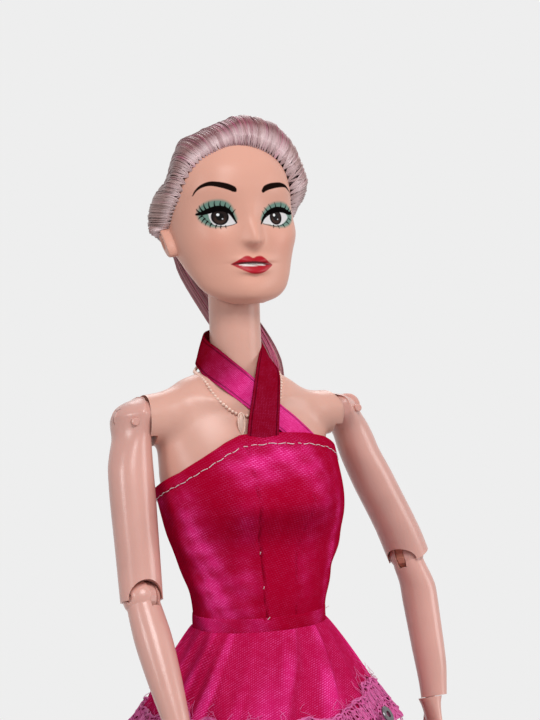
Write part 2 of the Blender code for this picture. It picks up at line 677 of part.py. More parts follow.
def make_head():
    """The hollow vinyl head, with its face, on the neck knob."""
    rings = []
    for k in range(HEAD_RINGS):
        rise = -math.pi / 2 + math.pi * (k + 0.5) / HEAD_RINGS
        ring = []
        for i in range(HEAD_SIDES):
            turn = 2 * math.pi * i / HEAD_SIDES
            turn -= 0.42 * math.cos(turn)
            across = math.cos(rise)
            ring.append(head_point(Vector(
                (across * math.cos(turn), across * math.sin(turn), math.sin(rise)))))
        rings.append(ring)
    made = new_object("head_shell", loft(rings), FACE_SKIN)
    socket = NECK_RADIUS + SOCKET_GAP
    lean = math.tan(math.radians(HEAD_NOD + FREE_PLAY))
    hollow = [(-CHIN_DROP * 4, socket + CHIN_DROP * 4 * lean)]
    mouth = KNOB_STEM_RADIUS + NECK_RADIUS * lean + GAP
    steps = 4
    for k in range(steps + 1):
        turn = math.acos(mouth / socket) * k / steps
        hollow.append((socket * math.sin(turn), socket * math.cos(turn)))
    top = NECK_RADIUS + KNOB_STEM_LENGTH
    end = top + KNOB_DISC_THICKNESS * 1.5
    room = KNOB_DISC_RADIUS + end * lean + GAP
    flange = NECK_RADIUS + KNOB_STEM_LENGTH * 0.3
    hollow += [(flange, mouth + GAP), (flange + GAP, room * 0.90), (top, room), (end, room),
               (end + KNOB_DISC_RADIUS * lean + GAP, room * 0.60)]
    cut(made, turned("tool", hollow, NECK_PIVOT, Z_AXIS, sides=BALL_SIDES))
    return made


# Hairline, as turn from the face and rise, in shares of a right angle
HAIRLINE_SHARES = (
    (0.0, 0.50), (0.22, 0.475), (0.45, 0.36), (0.66, 0.17), (0.84, -0.05), (1.03, -0.20),
    (1.24, -0.34), (1.50, -0.43), (1.78, -0.46), (2.0, -0.47),
)
GATHER_DIRECTION = Vector((0, 1, 0.08)).normalized()


def hairline_direction(turn_share):
    """The direction of the hairline at a turn of -2 to 2 right angles from the face."""
    rise = curve_value(HAIRLINE_SHARES, abs(turn_share), 1) * math.pi / 2
    turn = turn_share * math.pi / 2
    return Vector((math.cos(rise) * math.sin(turn), -math.cos(rise) * math.cos(turn), math.sin(rise)))


def hair_ring(share, grow, sides=HAIR_SIDES):
    """One ring of the hair, a share of the way from the hairline to the tie."""
    ring = []
    rim = (TIE_RADIUS - TIE_THICKNESS + GAP) / SKULL_DEPTH
    for i in range(sides):
        start = hairline_direction(4 * i / sides - 2)
        whole = start.angle(GATHER_DIRECTION)
        ring.append(head_point(start.slerp(GATHER_DIRECTION, share * (1 - rim / whole)), grow))
    return ring


def hair_rise(share):
    """Thickness of the hair from its line at the face to the tie."""
    swell = math.sin(math.pi / 2 * min(share * 2, 1)) ** 0.8
    return HAIRLINE_THICKNESS + (HAIR_THICKNESS - HAIRLINE_THICKNESS) * swell


def make_hair():
    """The rooted hair drawn back over the head, the tie and the ponytail."""
    shares = [k / HAIR_RINGS for k in range(HAIR_RINGS + 1)]
    outer = [hair_ring(share, HAIR_GAP + hair_rise(share)) for share in shares]
    inner = [hair_ring(share, HAIR_GAP) for share in shares]
    cap = new_object("hair_cap", shell(outer, inner), HAIR)
    root = head_point(GATHER_DIRECTION, GAP, plain=True)
    out = GATHER_DIRECTION
    stub = TIE_RADIUS - TIE_THICKNESS - GAP
    ring_profile = []
    steps = 8
    for k in range(steps):
        turn = 2 * math.pi * k / steps
        ring_profile.append((TIE_THICKNESS * math.cos(turn), TIE_RADIUS + TIE_THICKNESS * math.sin(turn)))
    tie_middle = root + out * (HAIR_THICKNESS + HAIR_GAP + TIE_THICKNESS * 2.2)
    across, other, along = frame_of(out, X_AXIS)
    tie_rings = []
    for distance, radius in ring_profile:
        middle = tie_middle + along * distance
        ring = []
        for i in range(20):
            turn = 2 * math.pi * i / 20
            ring.append(middle + (across * math.cos(turn) + other * math.sin(turn)) * radius)
        tie_rings.append(ring)
    tie = new_object("hair_tie", shell(tie_rings, []), ELASTIC)
    path = (
        root + out * GAP,
        tie_middle + out * (TIE_THICKNESS + GAP * 2),
        tie_middle + out * (TIE_THICKNESS * 3.6) - Z_AXIS * (PONYTAIL_LENGTH * 0.02),
        tie_middle + out * (TIE_THICKNESS * 3.4) - Z_AXIS * (PONYTAIL_LENGTH * 0.20),
        tie_middle + Vector((0, -HAIR_THICKNESS * 0.4, -PONYTAIL_LENGTH * 0.38)),
        tie_middle + Vector((BUST_SPACING * 0.35, -HAIR_THICKNESS * 1.4, -PONYTAIL_LENGTH * 0.52)),
        tie_middle + Vector((BUST_SPACING * 0.90, -HAIR_THICKNESS * 2.1, -PONYTAIL_LENGTH * 0.66)),
        tie_middle + Vector((BUST_SPACING * 1.20, -HAIR_THICKNESS * 2.3, -PONYTAIL_LENGTH * 0.84)),
        tie_middle + Vector((BUST_SPACING * 1.30, -HAIR_THICKNESS * 2.4, -PONYTAIL_LENGTH)),
    )
    wide_shares = (0, 0, 0.60, 0.86, 0.92, 1.0, 1.0, 0.85, 0.30)
    rings = []
    for k, middle in enumerate(path):
        ahead = path[min(k + 1, len(path) - 1)] - path[max(k - 1, 0)]
        across, other, along = frame_of(ahead, X_AXIS)
        wide = max(stub, PONYTAIL_HALF_WIDTH * wide_shares[k])
        deep = max(stub, PONYTAIL_HALF_DEPTH * wide_shares[k])
        if k == len(path) - 1:
            wide = PONYTAIL_HALF_WIDTH * wide_shares[k]
            deep = PONYTAIL_HALF_DEPTH * wide_shares[k]
        ring = []
        for i in range(14):
            turn = 2 * math.pi * i / 14
            ring.append(middle + across * (wide * math.cos(turn)) + other * (deep * math.sin(turn)))
        rings.append(ring)
    tail = new_object("ponytail", loft(rings), HAIR)
    return [cap, tie, tail]


def upper_limb(name, top, bottom, axis, hinge, ball_radius, stations, knuckle, peg, swivels=(0,)):
    """A thigh or an upper arm: ball on top, tapering shaft, saddle and bore at the hinge below."""
    rings = []
    steps = 6
    for k in range(1, steps):
        turn = math.pi / 2 * (1 - k / steps)
        rings.append((-ball_radius * math.sin(turn), ball_radius * math.cos(turn),
                      ball_radius * math.cos(turn), 0))
    rings.append((0, ball_radius, ball_radius, 0))
    length = (bottom - top).length
    rings += [(length * share, wide, deep, 0) for share, wide, deep in stations]
    made = new_object(name, loft(limb_rings(top, axis, hinge, rings)), SKIN)
    across, other, along = frame_of(axis, hinge)
    rim = bottom - along * (knuckle * 0.72)
    for swivel in swivels:
        bend_side = Matrix.Rotation(math.radians(swivel), 3, along) @ other
        slope = (along - bend_side * BEND_RELIEF_SHARE).normalized()
        cut(made, turned("tool", ((0, ball_radius * 2), (ball_radius * 3, ball_radius * 2)), rim, slope))
    cut(made, ball("tool", bottom, knuckle + HINGE_GAP * 1.4))
    bore = peg[0] + HINGE_GAP
    reach = knuckle + peg[1] + GAP
    cut(made, turned("tool", ((0, bore), (reach, bore)), bottom, -axis, sides=12))
    return made


def lower_limb(name, top, hinge, rings, knuckle, half_width, disc_thickness, pin_radius):
    """A forearm or a shin: a round knuckle slotted for the disc, over a tapering shaft."""
    made = new_object(name, loft(rings), SKIN)
    flat = math.sqrt(max(knuckle**2 - half_width**2, 0))
    profile = [(-half_width, flat)]
    steps = 6
    for k in range(1, steps):
        place = -half_width * math.cos(math.pi * k / steps)
        profile.append((place, math.sqrt(knuckle**2 - place**2)))
    profile.append((half_width, flat))
    join(made, turned("tool", profile, top, hinge, sides=KNUCKLE_SIDES))
    slot = disc_thickness / 2 + HINGE_GAP
    room = knuckle + GAP * 2.2
    cut(made, turned("tool", ((-slot, room), (slot, room)), top, hinge, sides=KNUCKLE_SIDES + 3))
    bore = pin_radius + HINGE_GAP
    reach = half_width + OVERRUN
    cut(made, turned("tool", ((-reach, bore), (reach, bore)), top, hinge, sides=12))
    return made


def hinge_link(name, middle, up, hinge, radius, thickness, peg, pin_radius):
    """The disc between two limbs, with the peg that turns in the limb above."""
    made = rounded_rod(name, middle, hinge, -thickness / 2, thickness / 2, radius, LINK_SKIN,
                       KNUCKLE_SIDES, 0.08)
    peg_radius, peg_length = peg
    neck = min(peg_radius, thickness / 2) * 0.8
    profile = (
        (0, neck),
        (radius + GAP * 1.2, neck),
        (radius + GAP * 2, peg_radius),
        (radius + peg_length * 0.94, peg_radius),
        (radius + peg_length, peg_radius * 0.8),
    )
    join(made, turned("tool", profile, middle, up, sides=12))
    bore = pin_radius + HINGE_GAP
    cut(made, turned("tool", ((-thickness, bore), (thickness, bore)), middle, hinge, sides=12))
    return made


def fork_outline(side, neck, reach, lift):
    """The slot in a ball for the neck of its tongue, over the whole lift of the limb."""
    low = lift[0] - FREE_PLAY
    high = lift[1] + FREE_PLAY
    if side < 0:
        low, high = -high, -low
    return swept_outline(neck + HINGE_GAP, reach, low, high)


def make_arm(side):
    """One arm, from its shoulder peg to its fingers."""
    tag = "left" if side > 0 else "right"
    shoulder, elbow, wrist, upper, fore, hinge = arm_pose(side)
    inward = -X_AXIS * side
    peg = rounded_rod(f"shoulder_peg_{tag}", shoulder, Y_AXIS, -SHOULDER_TONGUE_THICKNESS / 2,
                      SHOULDER_TONGUE_THICKNESS / 2, SHOULDER_TONGUE_RADIUS, LINK_SKIN, 20, 0.1)
    reach = SHOULDER_BALL + SHOULDER_PEG_LENGTH
    neck = min(SHOULDER_PEG_RADIUS, SHOULDER_TONGUE_THICKNESS / 2)
    join(peg, turned("tool", ((0, neck), (SHOULDER_BALL + GAP, neck),
                              (SHOULDER_BALL + GAP * 2, SHOULDER_PEG_RADIUS),
                              (reach, SHOULDER_PEG_RADIUS)), shoulder, inward, sides=12))
    bore = SHOULDER_PIN_RADIUS + HINGE_GAP
    cut(peg, turned("tool", ((-SHOULDER_BALL, bore), (SHOULDER_BALL, bore)), shoulder, Y_AXIS, sides=12))

    elbow_peg = (ELBOW_PEG_RADIUS, ELBOW_PEG_LENGTH)
    stations = (
        (0.10, UPPER_ARM_RADIUS * 1.07, UPPER_ARM_RADIUS * 1.07),
        (0.17, UPPER_ARM_RADIUS * 1.01, UPPER_ARM_RADIUS * 1.01),
        (0.42, UPPER_ARM_RADIUS, UPPER_ARM_RADIUS),
        (0.68, UPPER_ARM_RADIUS * 0.95, UPPER_ARM_RADIUS * 0.95),
        (0.98, ELBOW_RADIUS * 1.02, ELBOW_RADIUS * 1.02),
    )
    elbow_turn = LEFT_ELBOW_TURN if side > 0 else RIGHT_ELBOW_TURN
    arm = upper_limb(f"upper_arm_{tag}", shoulder, elbow, upper, hinge, SHOULDER_BALL, stations,
                     ELBOW_RADIUS * 0.96, elbow_peg, (0, elbow_turn))
    slot = SHOULDER_TONGUE_THICKNESS / 2 + HINGE_GAP
    room = SHOULDER_TONGUE_RADIUS + HINGE_GAP
    cut(arm, turned("tool", ((-slot, room), (slot, room)), shoulder, Y_AXIS, sides=20))
    outline = fork_outline(side, neck, SHOULDER_BALL * 1.3, LEFT_ARM_LIFT if side > 0 else RIGHT_ARM_LIFT)
    cut(arm, prism("tool", shoulder, Y_AXIS, outline, slot, inward))
    cut(arm, turned("tool", ((-SHOULDER_BALL, bore), (SHOULDER_BALL, bore)), shoulder, Y_AXIS, sides=12))
    pin_reach = SHOULDER_BALL * 0.90
    pin = rounded_rod(f"shoulder_pin_{tag}", shoulder, Y_AXIS, -pin_reach, pin_reach,
                      SHOULDER_PIN_RADIUS, METAL, 10)

    knuckle = ELBOW_RADIUS * 0.96
    half_width = ELBOW_RADIUS * 0.90
    link = hinge_link(f"elbow_link_{tag}", elbow, -upper, hinge, knuckle - GAP, ELBOW_DISC_THICKNESS,
                      elbow_peg, ELBOW_PIN_RADIUS)
    length = FOREARM_LENGTH
    fore_stations = (
        (-knuckle * 0.11, half_width * 0.90, knuckle * 0.83, 0),
        (length * 0.12, half_width * 0.97, FOREARM_RADIUS * 0.92, 0),
        (length * 0.28, FOREARM_RADIUS, FOREARM_RADIUS * 0.98, 0),
        (length * 0.50, FOREARM_RADIUS * 0.92, FOREARM_RADIUS * 0.90, 0),
        (length * 0.75, FOREARM_RADIUS * 0.75, FOREARM_RADIUS * 0.74, 0),
        (length * 0.93, WRIST_RADIUS, WRIST_RADIUS, 0),
        (length - GAP, WRIST_RADIUS, WRIST_RADIUS, 0),
    )
    rings = limb_rings(elbow, fore, hinge, fore_stations)
    forearm = lower_limb(f"forearm_{tag}", elbow, hinge, rings, knuckle, half_width,
                         ELBOW_DISC_THICKNESS, ELBOW_PIN_RADIUS)
    wrist_bore = WRIST_PEG_RADIUS + HINGE_GAP
    cut(forearm, turned("tool", ((-WRIST_PEG_LENGTH - GAP, wrist_bore), (OVERRUN, wrist_bore)),
                        wrist, fore, sides=12))
    pin_half = half_width * 0.94
    elbow_pin = rounded_rod(f"elbow_pin_{tag}", elbow, hinge, -pin_half, pin_half, ELBOW_PIN_RADIUS,
                            METAL, 10)
    return {"peg": peg, "upper": [arm, pin], "link": link, "fore": [forearm, elbow_pin],
            "hand": make_hand(tag, side, wrist, fore, hinge)}


# Fingers: place across the palm, length and lean, as shares
FINGER_SHARES = ((-0.66, 0.80, -0.10), (-0.22, 1.0, -0.03), (0.22, 0.96, 0.04), (0.64, 0.76, 0.12))


def make_hand(tag, side, wrist, fore, hinge):
    """A slim hand with four fingers and a thumb, on the peg that turns in the wrist."""
    palm_side = X_AXIS * side
    across = fore.cross(palm_side).normalized()
    palm = HAND_LENGTH * 0.50
    half = WRIST_RADIUS * 1.35
    stations = (
        (0, WRIST_RADIUS * 0.98, WRIST_RADIUS * 0.92, 0),
        (palm * 0.18, WRIST_RADIUS, WRIST_RADIUS * 0.80, 0),
        (palm * 0.48, half * 0.92, WRIST_RADIUS * 0.68, 0),
        (palm * 0.85, half, WRIST_RADIUS * 0.58, 0),
        (palm, half * 0.94, WRIST_RADIUS * 0.48, 0),
    )
    hand = new_object(f"hand_{tag}", loft(limb_rings(wrist, fore, across, stations, 14)), SKIN)
    wide, thick, along = frame_of(fore, across)
    finger_radius = half * 0.235
    for place, length, lean in FINGER_SHARES:
        start = wrist + along * (palm * 0.80) + wide * (half * place)
        aim = (along + wide * lean).normalized()
        reach = (HAND_LENGTH - palm) * length + palm * 0.20
        profile = ((0, finger_radius), (reach * 0.5, finger_radius), (reach * 0.88, finger_radius * 0.8),
                   (reach, finger_radius * 0.35))
        join(hand, turned("tool", profile, start, aim, sides=6))
    thumb_start = wrist + along * (palm * 0.30) - across * (half * 0.55)
    thumb_aim = (along * 0.84 - across * 0.55).normalized()
    thumb = HAND_LENGTH * 0.40
    profile = ((0, finger_radius * 1.25), (thumb * 0.55, finger_radius * 1.2),
               (thumb * 0.88, finger_radius * 0.95), (thumb, finger_radius * 0.4))
    join(hand, turned("tool", profile, thumb_start, thumb_aim, sides=8))
    join(hand, turned("tool", ((-WRIST_PEG_LENGTH, WRIST_PEG_RADIUS), (WRIST_RADIUS, WRIST_PEG_RADIUS)),
                      wrist, fore, sides=12))
    return hand


def make_leg(side):
    """One leg, from its hip joint to its shoe."""
    tag = "left" if side > 0 else "right"
    hip = hip_centre(side)
    knee = Vector((hip.x, 0, KNEE_Z))
    down = -Z_AXIS
    hinge = X_AXIS
    inward = -X_AXIS * side
    disc = rounded_rod(f"hip_disc_{tag}", hip, Y_AXIS, -HIP_TONGUE_THICKNESS / 2,
                       HIP_TONGUE_THICKNESS / 2, HIP_TONGUE_RADIUS, LINK_SKIN, 20, 0.1)
    reach = HIP_X - HIP_WALL
    join(disc, turned("tool", ((0, HIP_SLEEVE_RADIUS), (reach, HIP_SLEEVE_RADIUS)), hip, inward, sides=14))
    bar_room = HIP_BAR_RADIUS + HINGE_GAP
    bore_end = HIP_TONGUE_RADIUS * 0.5 - GAP
    cut(disc, turned("tool", ((bore_end, bar_room), (reach + OVERRUN, bar_room)), hip, inward, sides=12))
    pin_room = HIP_PIN_RADIUS + HINGE_GAP
    cut(disc, turned("tool", ((-HIP_BALL, pin_room), (HIP_BALL, pin_room)), hip, Y_AXIS, sides=12))

    knee_peg = (KNEE_PEG_RADIUS, KNEE_PEG_LENGTH)
    stations = (
        (0.08, HIP_BALL * 1.01, HIP_BALL * 1.02),
        (0.22, THIGH_RADIUS * 1.02, THIGH_RADIUS * 1.10),
        (0.45, THIGH_RADIUS * 0.94, THIGH_RADIUS * 0.98),
        (0.70, THIGH_RADIUS * 0.80, THIGH_RADIUS * 0.84),
        (0.98, KNEE_RADIUS * 1.02, KNEE_RADIUS * 1.04),
    )
    thigh = upper_limb(f"thigh_{tag}", hip, knee, down, hinge, HIP_BALL, stations,
                       KNEE_RADIUS * 0.96, knee_peg)
    slot = HIP_TONGUE_THICKNESS / 2 + HINGE_GAP
    room = HIP_TONGUE_RADIUS + HINGE_GAP
    cut(thigh, turned("tool", ((-slot, room), (slot, room)), hip, Y_AXIS, sides=20))
    outline = fork_outline(side, HIP_SLEEVE_RADIUS, HIP_BALL * 1.3, HIP_SPREAD)
    cut(thigh, prism("tool", hip, Y_AXIS, outline, slot, inward))
    cut(thigh, turned("tool", ((-HIP_BALL, pin_room), (HIP_BALL, pin_room)), hip, Y_AXIS, sides=12))
    pin_reach = HIP_BALL * 0.92
    pin = rounded_rod(f"hip_pin_{tag}", hip, Y_AXIS, -pin_reach, pin_reach, HIP_PIN_RADIUS, METAL, 10)

    knuckle = KNEE_RADIUS * 0.96
    half_width = KNEE_RADIUS * 0.90
    link = hinge_link(f"knee_link_{tag}", knee, Z_AXIS, hinge, knuckle - GAP, KNEE_DISC_THICKNESS,
                      knee_peg, KNEE_PIN_RADIUS)
    length = SHIN_LENGTH
    shin_stations = (
        (-knuckle * 0.11, half_width * 0.90, knuckle * 0.83, 0),
        (length * 0.10, half_width * 0.97, KNEE_RADIUS * 0.88, 0),
        (length * 0.30, CALF_RADIUS, CALF_RADIUS * 1.06, -CALF_RADIUS * 0.14),
        (length * 0.50, CALF_RADIUS * 0.88, CALF_RADIUS * 0.94, -CALF_RADIUS * 0.10),
        (length * 0.78, CALF_RADIUS * 0.60, CALF_RADIUS * 0.62, 0),
    )
    rings = limb_rings(knee, down, hinge, shin_stations) + foot_rings(hip.x, 0, LIMB_SIDES)
    shin = lower_limb(f"shin_{tag}", knee, hinge, rings, knuckle, half_width,
                      KNEE_DISC_THICKNESS, KNEE_PIN_RADIUS)
    pin_half = half_width * 0.94
    knee_pin = rounded_rod(f"knee_pin_{tag}", knee, hinge, -pin_half, pin_half, KNEE_PIN_RADIUS,
                           METAL, 10)
    return {"disc": disc, "thigh": [thigh, pin], "link": [link], "shin": [shin, knee_pin],
            "shoe": make_shoe(tag, hip.x)}


# The arched foot from ankle to toe: height, place forward, half width, half height, as shares
FOOT_SHARES = (
    (1.24, 0.00, 0.80, 0.80), (1.02, 0.00, 0.86, 1.00), (0.84, 0.08, 0.92, 1.06),
    (0.68, 0.24, 0.96, 0.86), (0.50, 0.42, 0.98, 0.66), (0.34, 0.58, 1.06, 0.52),
    (0.25, 0.74, 1.08, 0.42), (0.20, 0.88, 0.86, 0.32), (0.18, 0.95, 0.44, 0.20),
)


def foot_rings(x, grow, sides=14):
    """Rings along the arched foot, square to its path."""
    path = []
    reach = SHOE_LENGTH * 0.78
    for height, forward, _, _ in FOOT_SHARES:
        path.append(Vector((x, -reach * forward, ANKLE_HEIGHT * height)))
    path[-1] = path[-1] - Y_AXIS * grow
    rings = []
    for k, (_, _, wide_share, deep_share) in enumerate(FOOT_SHARES):
        ahead = path[min(k + 1, len(path) - 1)] - path[max(k - 1, 0)]
        across, other, _ = frame_of(ahead, X_AXIS)
        wide = FOOT_HALF_WIDTH * wide_share + grow
        deep = FOOT_HALF_WIDTH * deep_share + grow
        ring = []
        for i in range(sides):
            turn = 2 * math.pi * i / sides
            ring.append(path[k] + across * (wide * math.cos(turn)) + other * (deep * math.sin(turn)))
        rings.append(ring)
    return rings


# The pump from heel to toe: place, half width, sole height, top height, as shares
SHOE_SHARES = (
    (0.00, 0.55, 0.62, 1.06), (0.06, 0.92, 0.60, 1.10), (0.16, 1.06, 0.54, 1.06),
    (0.30, 1.02, 0.42, 0.86), (0.46, 1.04, 0.24, 0.66), (0.60, 1.14, 0.07, 0.52),
    (0.70, 1.22, 0.0, 0.46), (0.82, 1.20, 0.0, 0.40), (0.92, 0.95, 0.0, 0.32), (1.00, 0.40, 0.0, 0.20),
)


def make_shoe(tag, x):
    """A pump with a block heel, hollowed for the foot."""
    rings = []
    back = SHOE_LENGTH * 0.22
    for place, wide_share, low_share, high_share in SHOE_SHARES:
        y = back - SHOE_LENGTH * place
        wide = FOOT_HALF_WIDTH * wide_share + SHOE_WALL
        low = ANKLE_HEIGHT * low_share
        high = ANKLE_HEIGHT * high_share * 0.86 + SHOE_WALL
        ring = []
        for i in range(12):
            turn = 2 * math.pi * (i + 0.5) / 12
            rise = min(max((1 + 1.12 * power_of(math.sin(turn), 0.6)) / 2, 0), 1)
            ring.append(Vector((x + wide * power_of(math.cos(turn), 0.8), y, low + (high - low) * rise)))
        rings.append(ring)
    shoe = new_object(f"shoe_{tag}", loft(rings), SHOE)
    heel_y = back - SHOE_LENGTH * 0.09
    heel_profile = ((0, HEEL_TIP_RADIUS), (HEEL_HEIGHT * 0.5, HEEL_TIP_RADIUS * 1.1),
                    (HEEL_HEIGHT, HEEL_TOP_RADIUS))
    join(shoe, turned("tool", heel_profile, Vector((x, heel_y, 0)), Z_AXIS, sides=12))
    cut(shoe, new_object("tool", loft(foot_rings(x, GAP, LIMB_SIDES)), None))
    room = ANKLE_HEIGHT * 1.5
    opening = (
        (ANKLE_HEIGHT * 0.50, FOOT_HALF_WIDTH * 0.70, FOOT_HALF_WIDTH * 0.75, 0),
        (room, FOOT_HALF_WIDTH, FOOT_HALF_WIDTH * 1.25, 0),
    )
    cut(shoe, new_object("tool", loft(limb_rings(Vector((x, 0, 0)), Z_AXIS, X_AXIS, opening, 14)), None))
    return shoe


def bodice_rise(turn):
    """Rise of the bodice's upper edge over the waist: high across the chest, low under the arms and behind."""
    off_front = abs(math.remainder(turn - FRONT_ANGLE, 2 * math.pi))
    share = min(max((math.radians(78) - off_front) / math.radians(50), 0), 1)
    share = share * share * (3 - 2 * share)
    return BODICE_SIDE_RISE + (BODICE_FRONT_RISE - BODICE_SIDE_RISE) * share


def make_bodice():
    """The fitted satin bodice: a thin shell over the chest."""
    turns = [2 * math.pi * i / BODY_SIDES for i in range(BODY_SIDES)]
    walls = []
    for grow in (DRESS_GAP + CLOTH, DRESS_GAP):
        rings = []
        for share in BODICE_ROW_SHARES:
            rings.append([body_point(bodice_level(bodice_rise(turn), share), turn, grow, bridged=True)
                          for turn in turns])
        walls.append(rings)
    return new_object("bodice", shell(*walls), SATIN)


def make_waistband():
    low = WAIST_Z - WAISTBAND_DROP
    levels = spread_levels(low, low + WAISTBAND_HEIGHT, 2)
    outer = [body_ring(z, DRESS_GAP + CLOTH * 1.6, sides=BODY_SIDES) for z in levels]
    inner = [body_ring(z, DRESS_GAP, sides=BODY_SIDES) for z in levels]
    return new_object("waistband", shell(outer, inner), SATIN)


SKIRT_TOP_Z = WAIST_Z - WAISTBAND_DROP - GAP
TIER_END_Z = SKIRT_TOP_Z - SKIRT_TIER_LENGTH
RUFFLE_END_Z = TIER_END_Z - GAP - RUFFLE_LENGTH


def saw(turn, count):
    """A knife pleat: a slow rise and a quick fall, from -1 to 1."""
    phase = (turn * count / (2 * math.pi)) % 1
    return (2 * phase / 0.72 - 1) if phase < 0.72 else (1 - 2 * (phase - 0.72) / 0.28)


def tier_ring(share, grow, sides):
    """A ring of the pleated tier, a share of the way down it."""
    ring = []
    z = SKIRT_TOP_Z - SKIRT_TIER_LENGTH * share
    out = DRESS_GAP + CLOTH + SKIRT_FLARE * share ** 0.92
    for i in range(sides):
        turn = 2 * math.pi * i / sides
        waist = body_point(SKIRT_TOP_Z, turn)
        away = Vector((math.cos(turn), math.sin(turn), 0))
        fold = PLEAT_DEPTH * (saw(turn, PLEAT_COUNT) + 0.4) * share ** 0.7
        point = waist + away * (out + fold + grow)
        ring.append(Vector((point.x, point.y, z)))
    return ring


def make_skirt_tier():
    """The knife-pleated upper tier of the skirt."""
    sides = PLEAT_COUNT * 4
    shares = (0, 0.25, 0.6, 1.0)
    outer = [tier_ring(share, CLOTH, sides) for share in shares]
    inner = [tier_ring(share, 0, sides) for share in shares]
    return new_object("skirt_tier", shell(outer, inner), SATIN)


def ruffle_ring(share, grow, sides):
    """A ring of the gathered lower tier."""
    ring = []
    z = TIER_END_Z - GAP - RUFFLE_LENGTH * share
    for i in range(sides):
        turn = 2 * math.pi * i / sides
        waist = body_point(SKIRT_TOP_Z, turn)
        away = Vector((math.cos(turn), math.sin(turn), 0))
        fold = RUFFLE_DEPTH * math.cos(turn * RUFFLE_COUNT) * (0.25 + 0.75 * share)
        out = DRESS_GAP + CLOTH + SKIRT_FLARE + RUFFLE_FLARE * share
        point = waist + away * (out + fold + grow)
        ring.append(Vector((point.x, point.y, z)))
    return ring


def make_ruffle():
    """The gathered lower tier of the skirt."""
    sides = RUFFLE_COUNT * 4
    shares = (0, 0.5, 1.0)
    outer = [ruffle_ring(share, CLOTH, sides) for share in shares]
    inner = [ruffle_ring(share, 0, sides) for share in shares]
    return new_object("skirt_ruffle", shell(outer, inner), SATIN)


def lace_point(share, turn, grow):
    """The lace band lies over the lower end of the pleated tier, clear of the deepest pleat."""
    along = 1 + (LACE_DROP - LACE_HEIGHT * (1 - share)) / SKIRT_TIER_LENGTH
    waist = body_point(SKIRT_TOP_Z, turn)
    away = Vector((math.cos(turn), math.sin(turn), 0))
    flare = SKIRT_FLARE * along ** 0.92
    fold = PLEAT_DEPTH * 1.4 * along ** 0.7
    if share == 1:
        fold = max(fold, RUFFLE_DEPTH * 1.3)
    out = DRESS_GAP + CLOTH * 2 + flare + max(fold, PLEAT_DEPTH * 1.4) + GAP + grow
    point = waist + away * out
    z = SKIRT_TOP_Z - SKIRT_TIER_LENGTH * along
    return Vector((point.x, point.y, z))


def make_lace():
    """The lace band, scalloped along its upper edge."""
    sides = 72
    rows = (0, 0.4, 1.0)
    walls = []
    for grow in (LACE_THICKNESS, 0):
        rings = []
        for share in rows:
            ring = []
            for i in range(sides):
                turn = 2 * math.pi * i / sides
                point = lace_point(share, turn, grow)
                if share == 0:
                    point.z += LACE_SCALLOP * math.cos(turn * 36)
                ring.append(point)
            rings.append(ring)
        walls.append(rings)
    return new_object("lace_band", shell(*walls), PINK_LACE)


SEQUIN_TURN = math.radians(-49)


def make_sequin():
    """A small metal ring sewn on the lace at the doll's left front."""
    upper = lace_point(0.4, SEQUIN_TURN, LACE_THICKNESS)
    lower = lace_point(1, SEQUIN_TURN, LACE_THICKNESS)
    seat = (upper + lower) / 2
    down = lower - upper
    around = Vector((-math.sin(SEQUIN_TURN), math.cos(SEQUIN_TURN), 0))
    out = down.cross(around).normalized()
    middle = seat + out * (GAP * 2)
    made = rounded_rod("sequin_ring", middle, out, 0, SEQUIN_THICKNESS, SEQUIN_RADIUS, METAL, 20, 0.08)
    cut(made, turned("tool", ((-OVERRUN, SEQUIN_HOLE), (OVERRUN, SEQUIN_HOLE)), middle, out, sides=12))
    return made


# The ribbon's middle line, as turn from the front in degrees and height as a share from the
# bodice's edge to the nape; it crosses itself at the throat
RIBBON_SHARES = (
    (-5, -0.03), (-3, 0.08), (0, 0.20), (6, 0.36), (17, 0.50), (38, 0.65), (68, 0.82), (105, 0.93),
    (145, 0.98), (180, 1.0), (215, 0.98), (255, 0.93), (292, 0.82), (322, 0.65), (345, 0.50),
    (366, 0.36), (378, 0.20), (386, 0.08), (390, -0.03),
)
NAPE_RISE = 0.0260


def ribbon_place(share):
    """Turn and height of the ribbon's middle line at a share of its length."""
    last = len(RIBBON_SHARES) - 1
    at = share * last
    rows = [(k, turn, height) for k, (turn, height) in enumerate(RIBBON_SHARES)]
    return math.radians(curve_value(rows, at, 1)), curve_value(rows, at, 2)


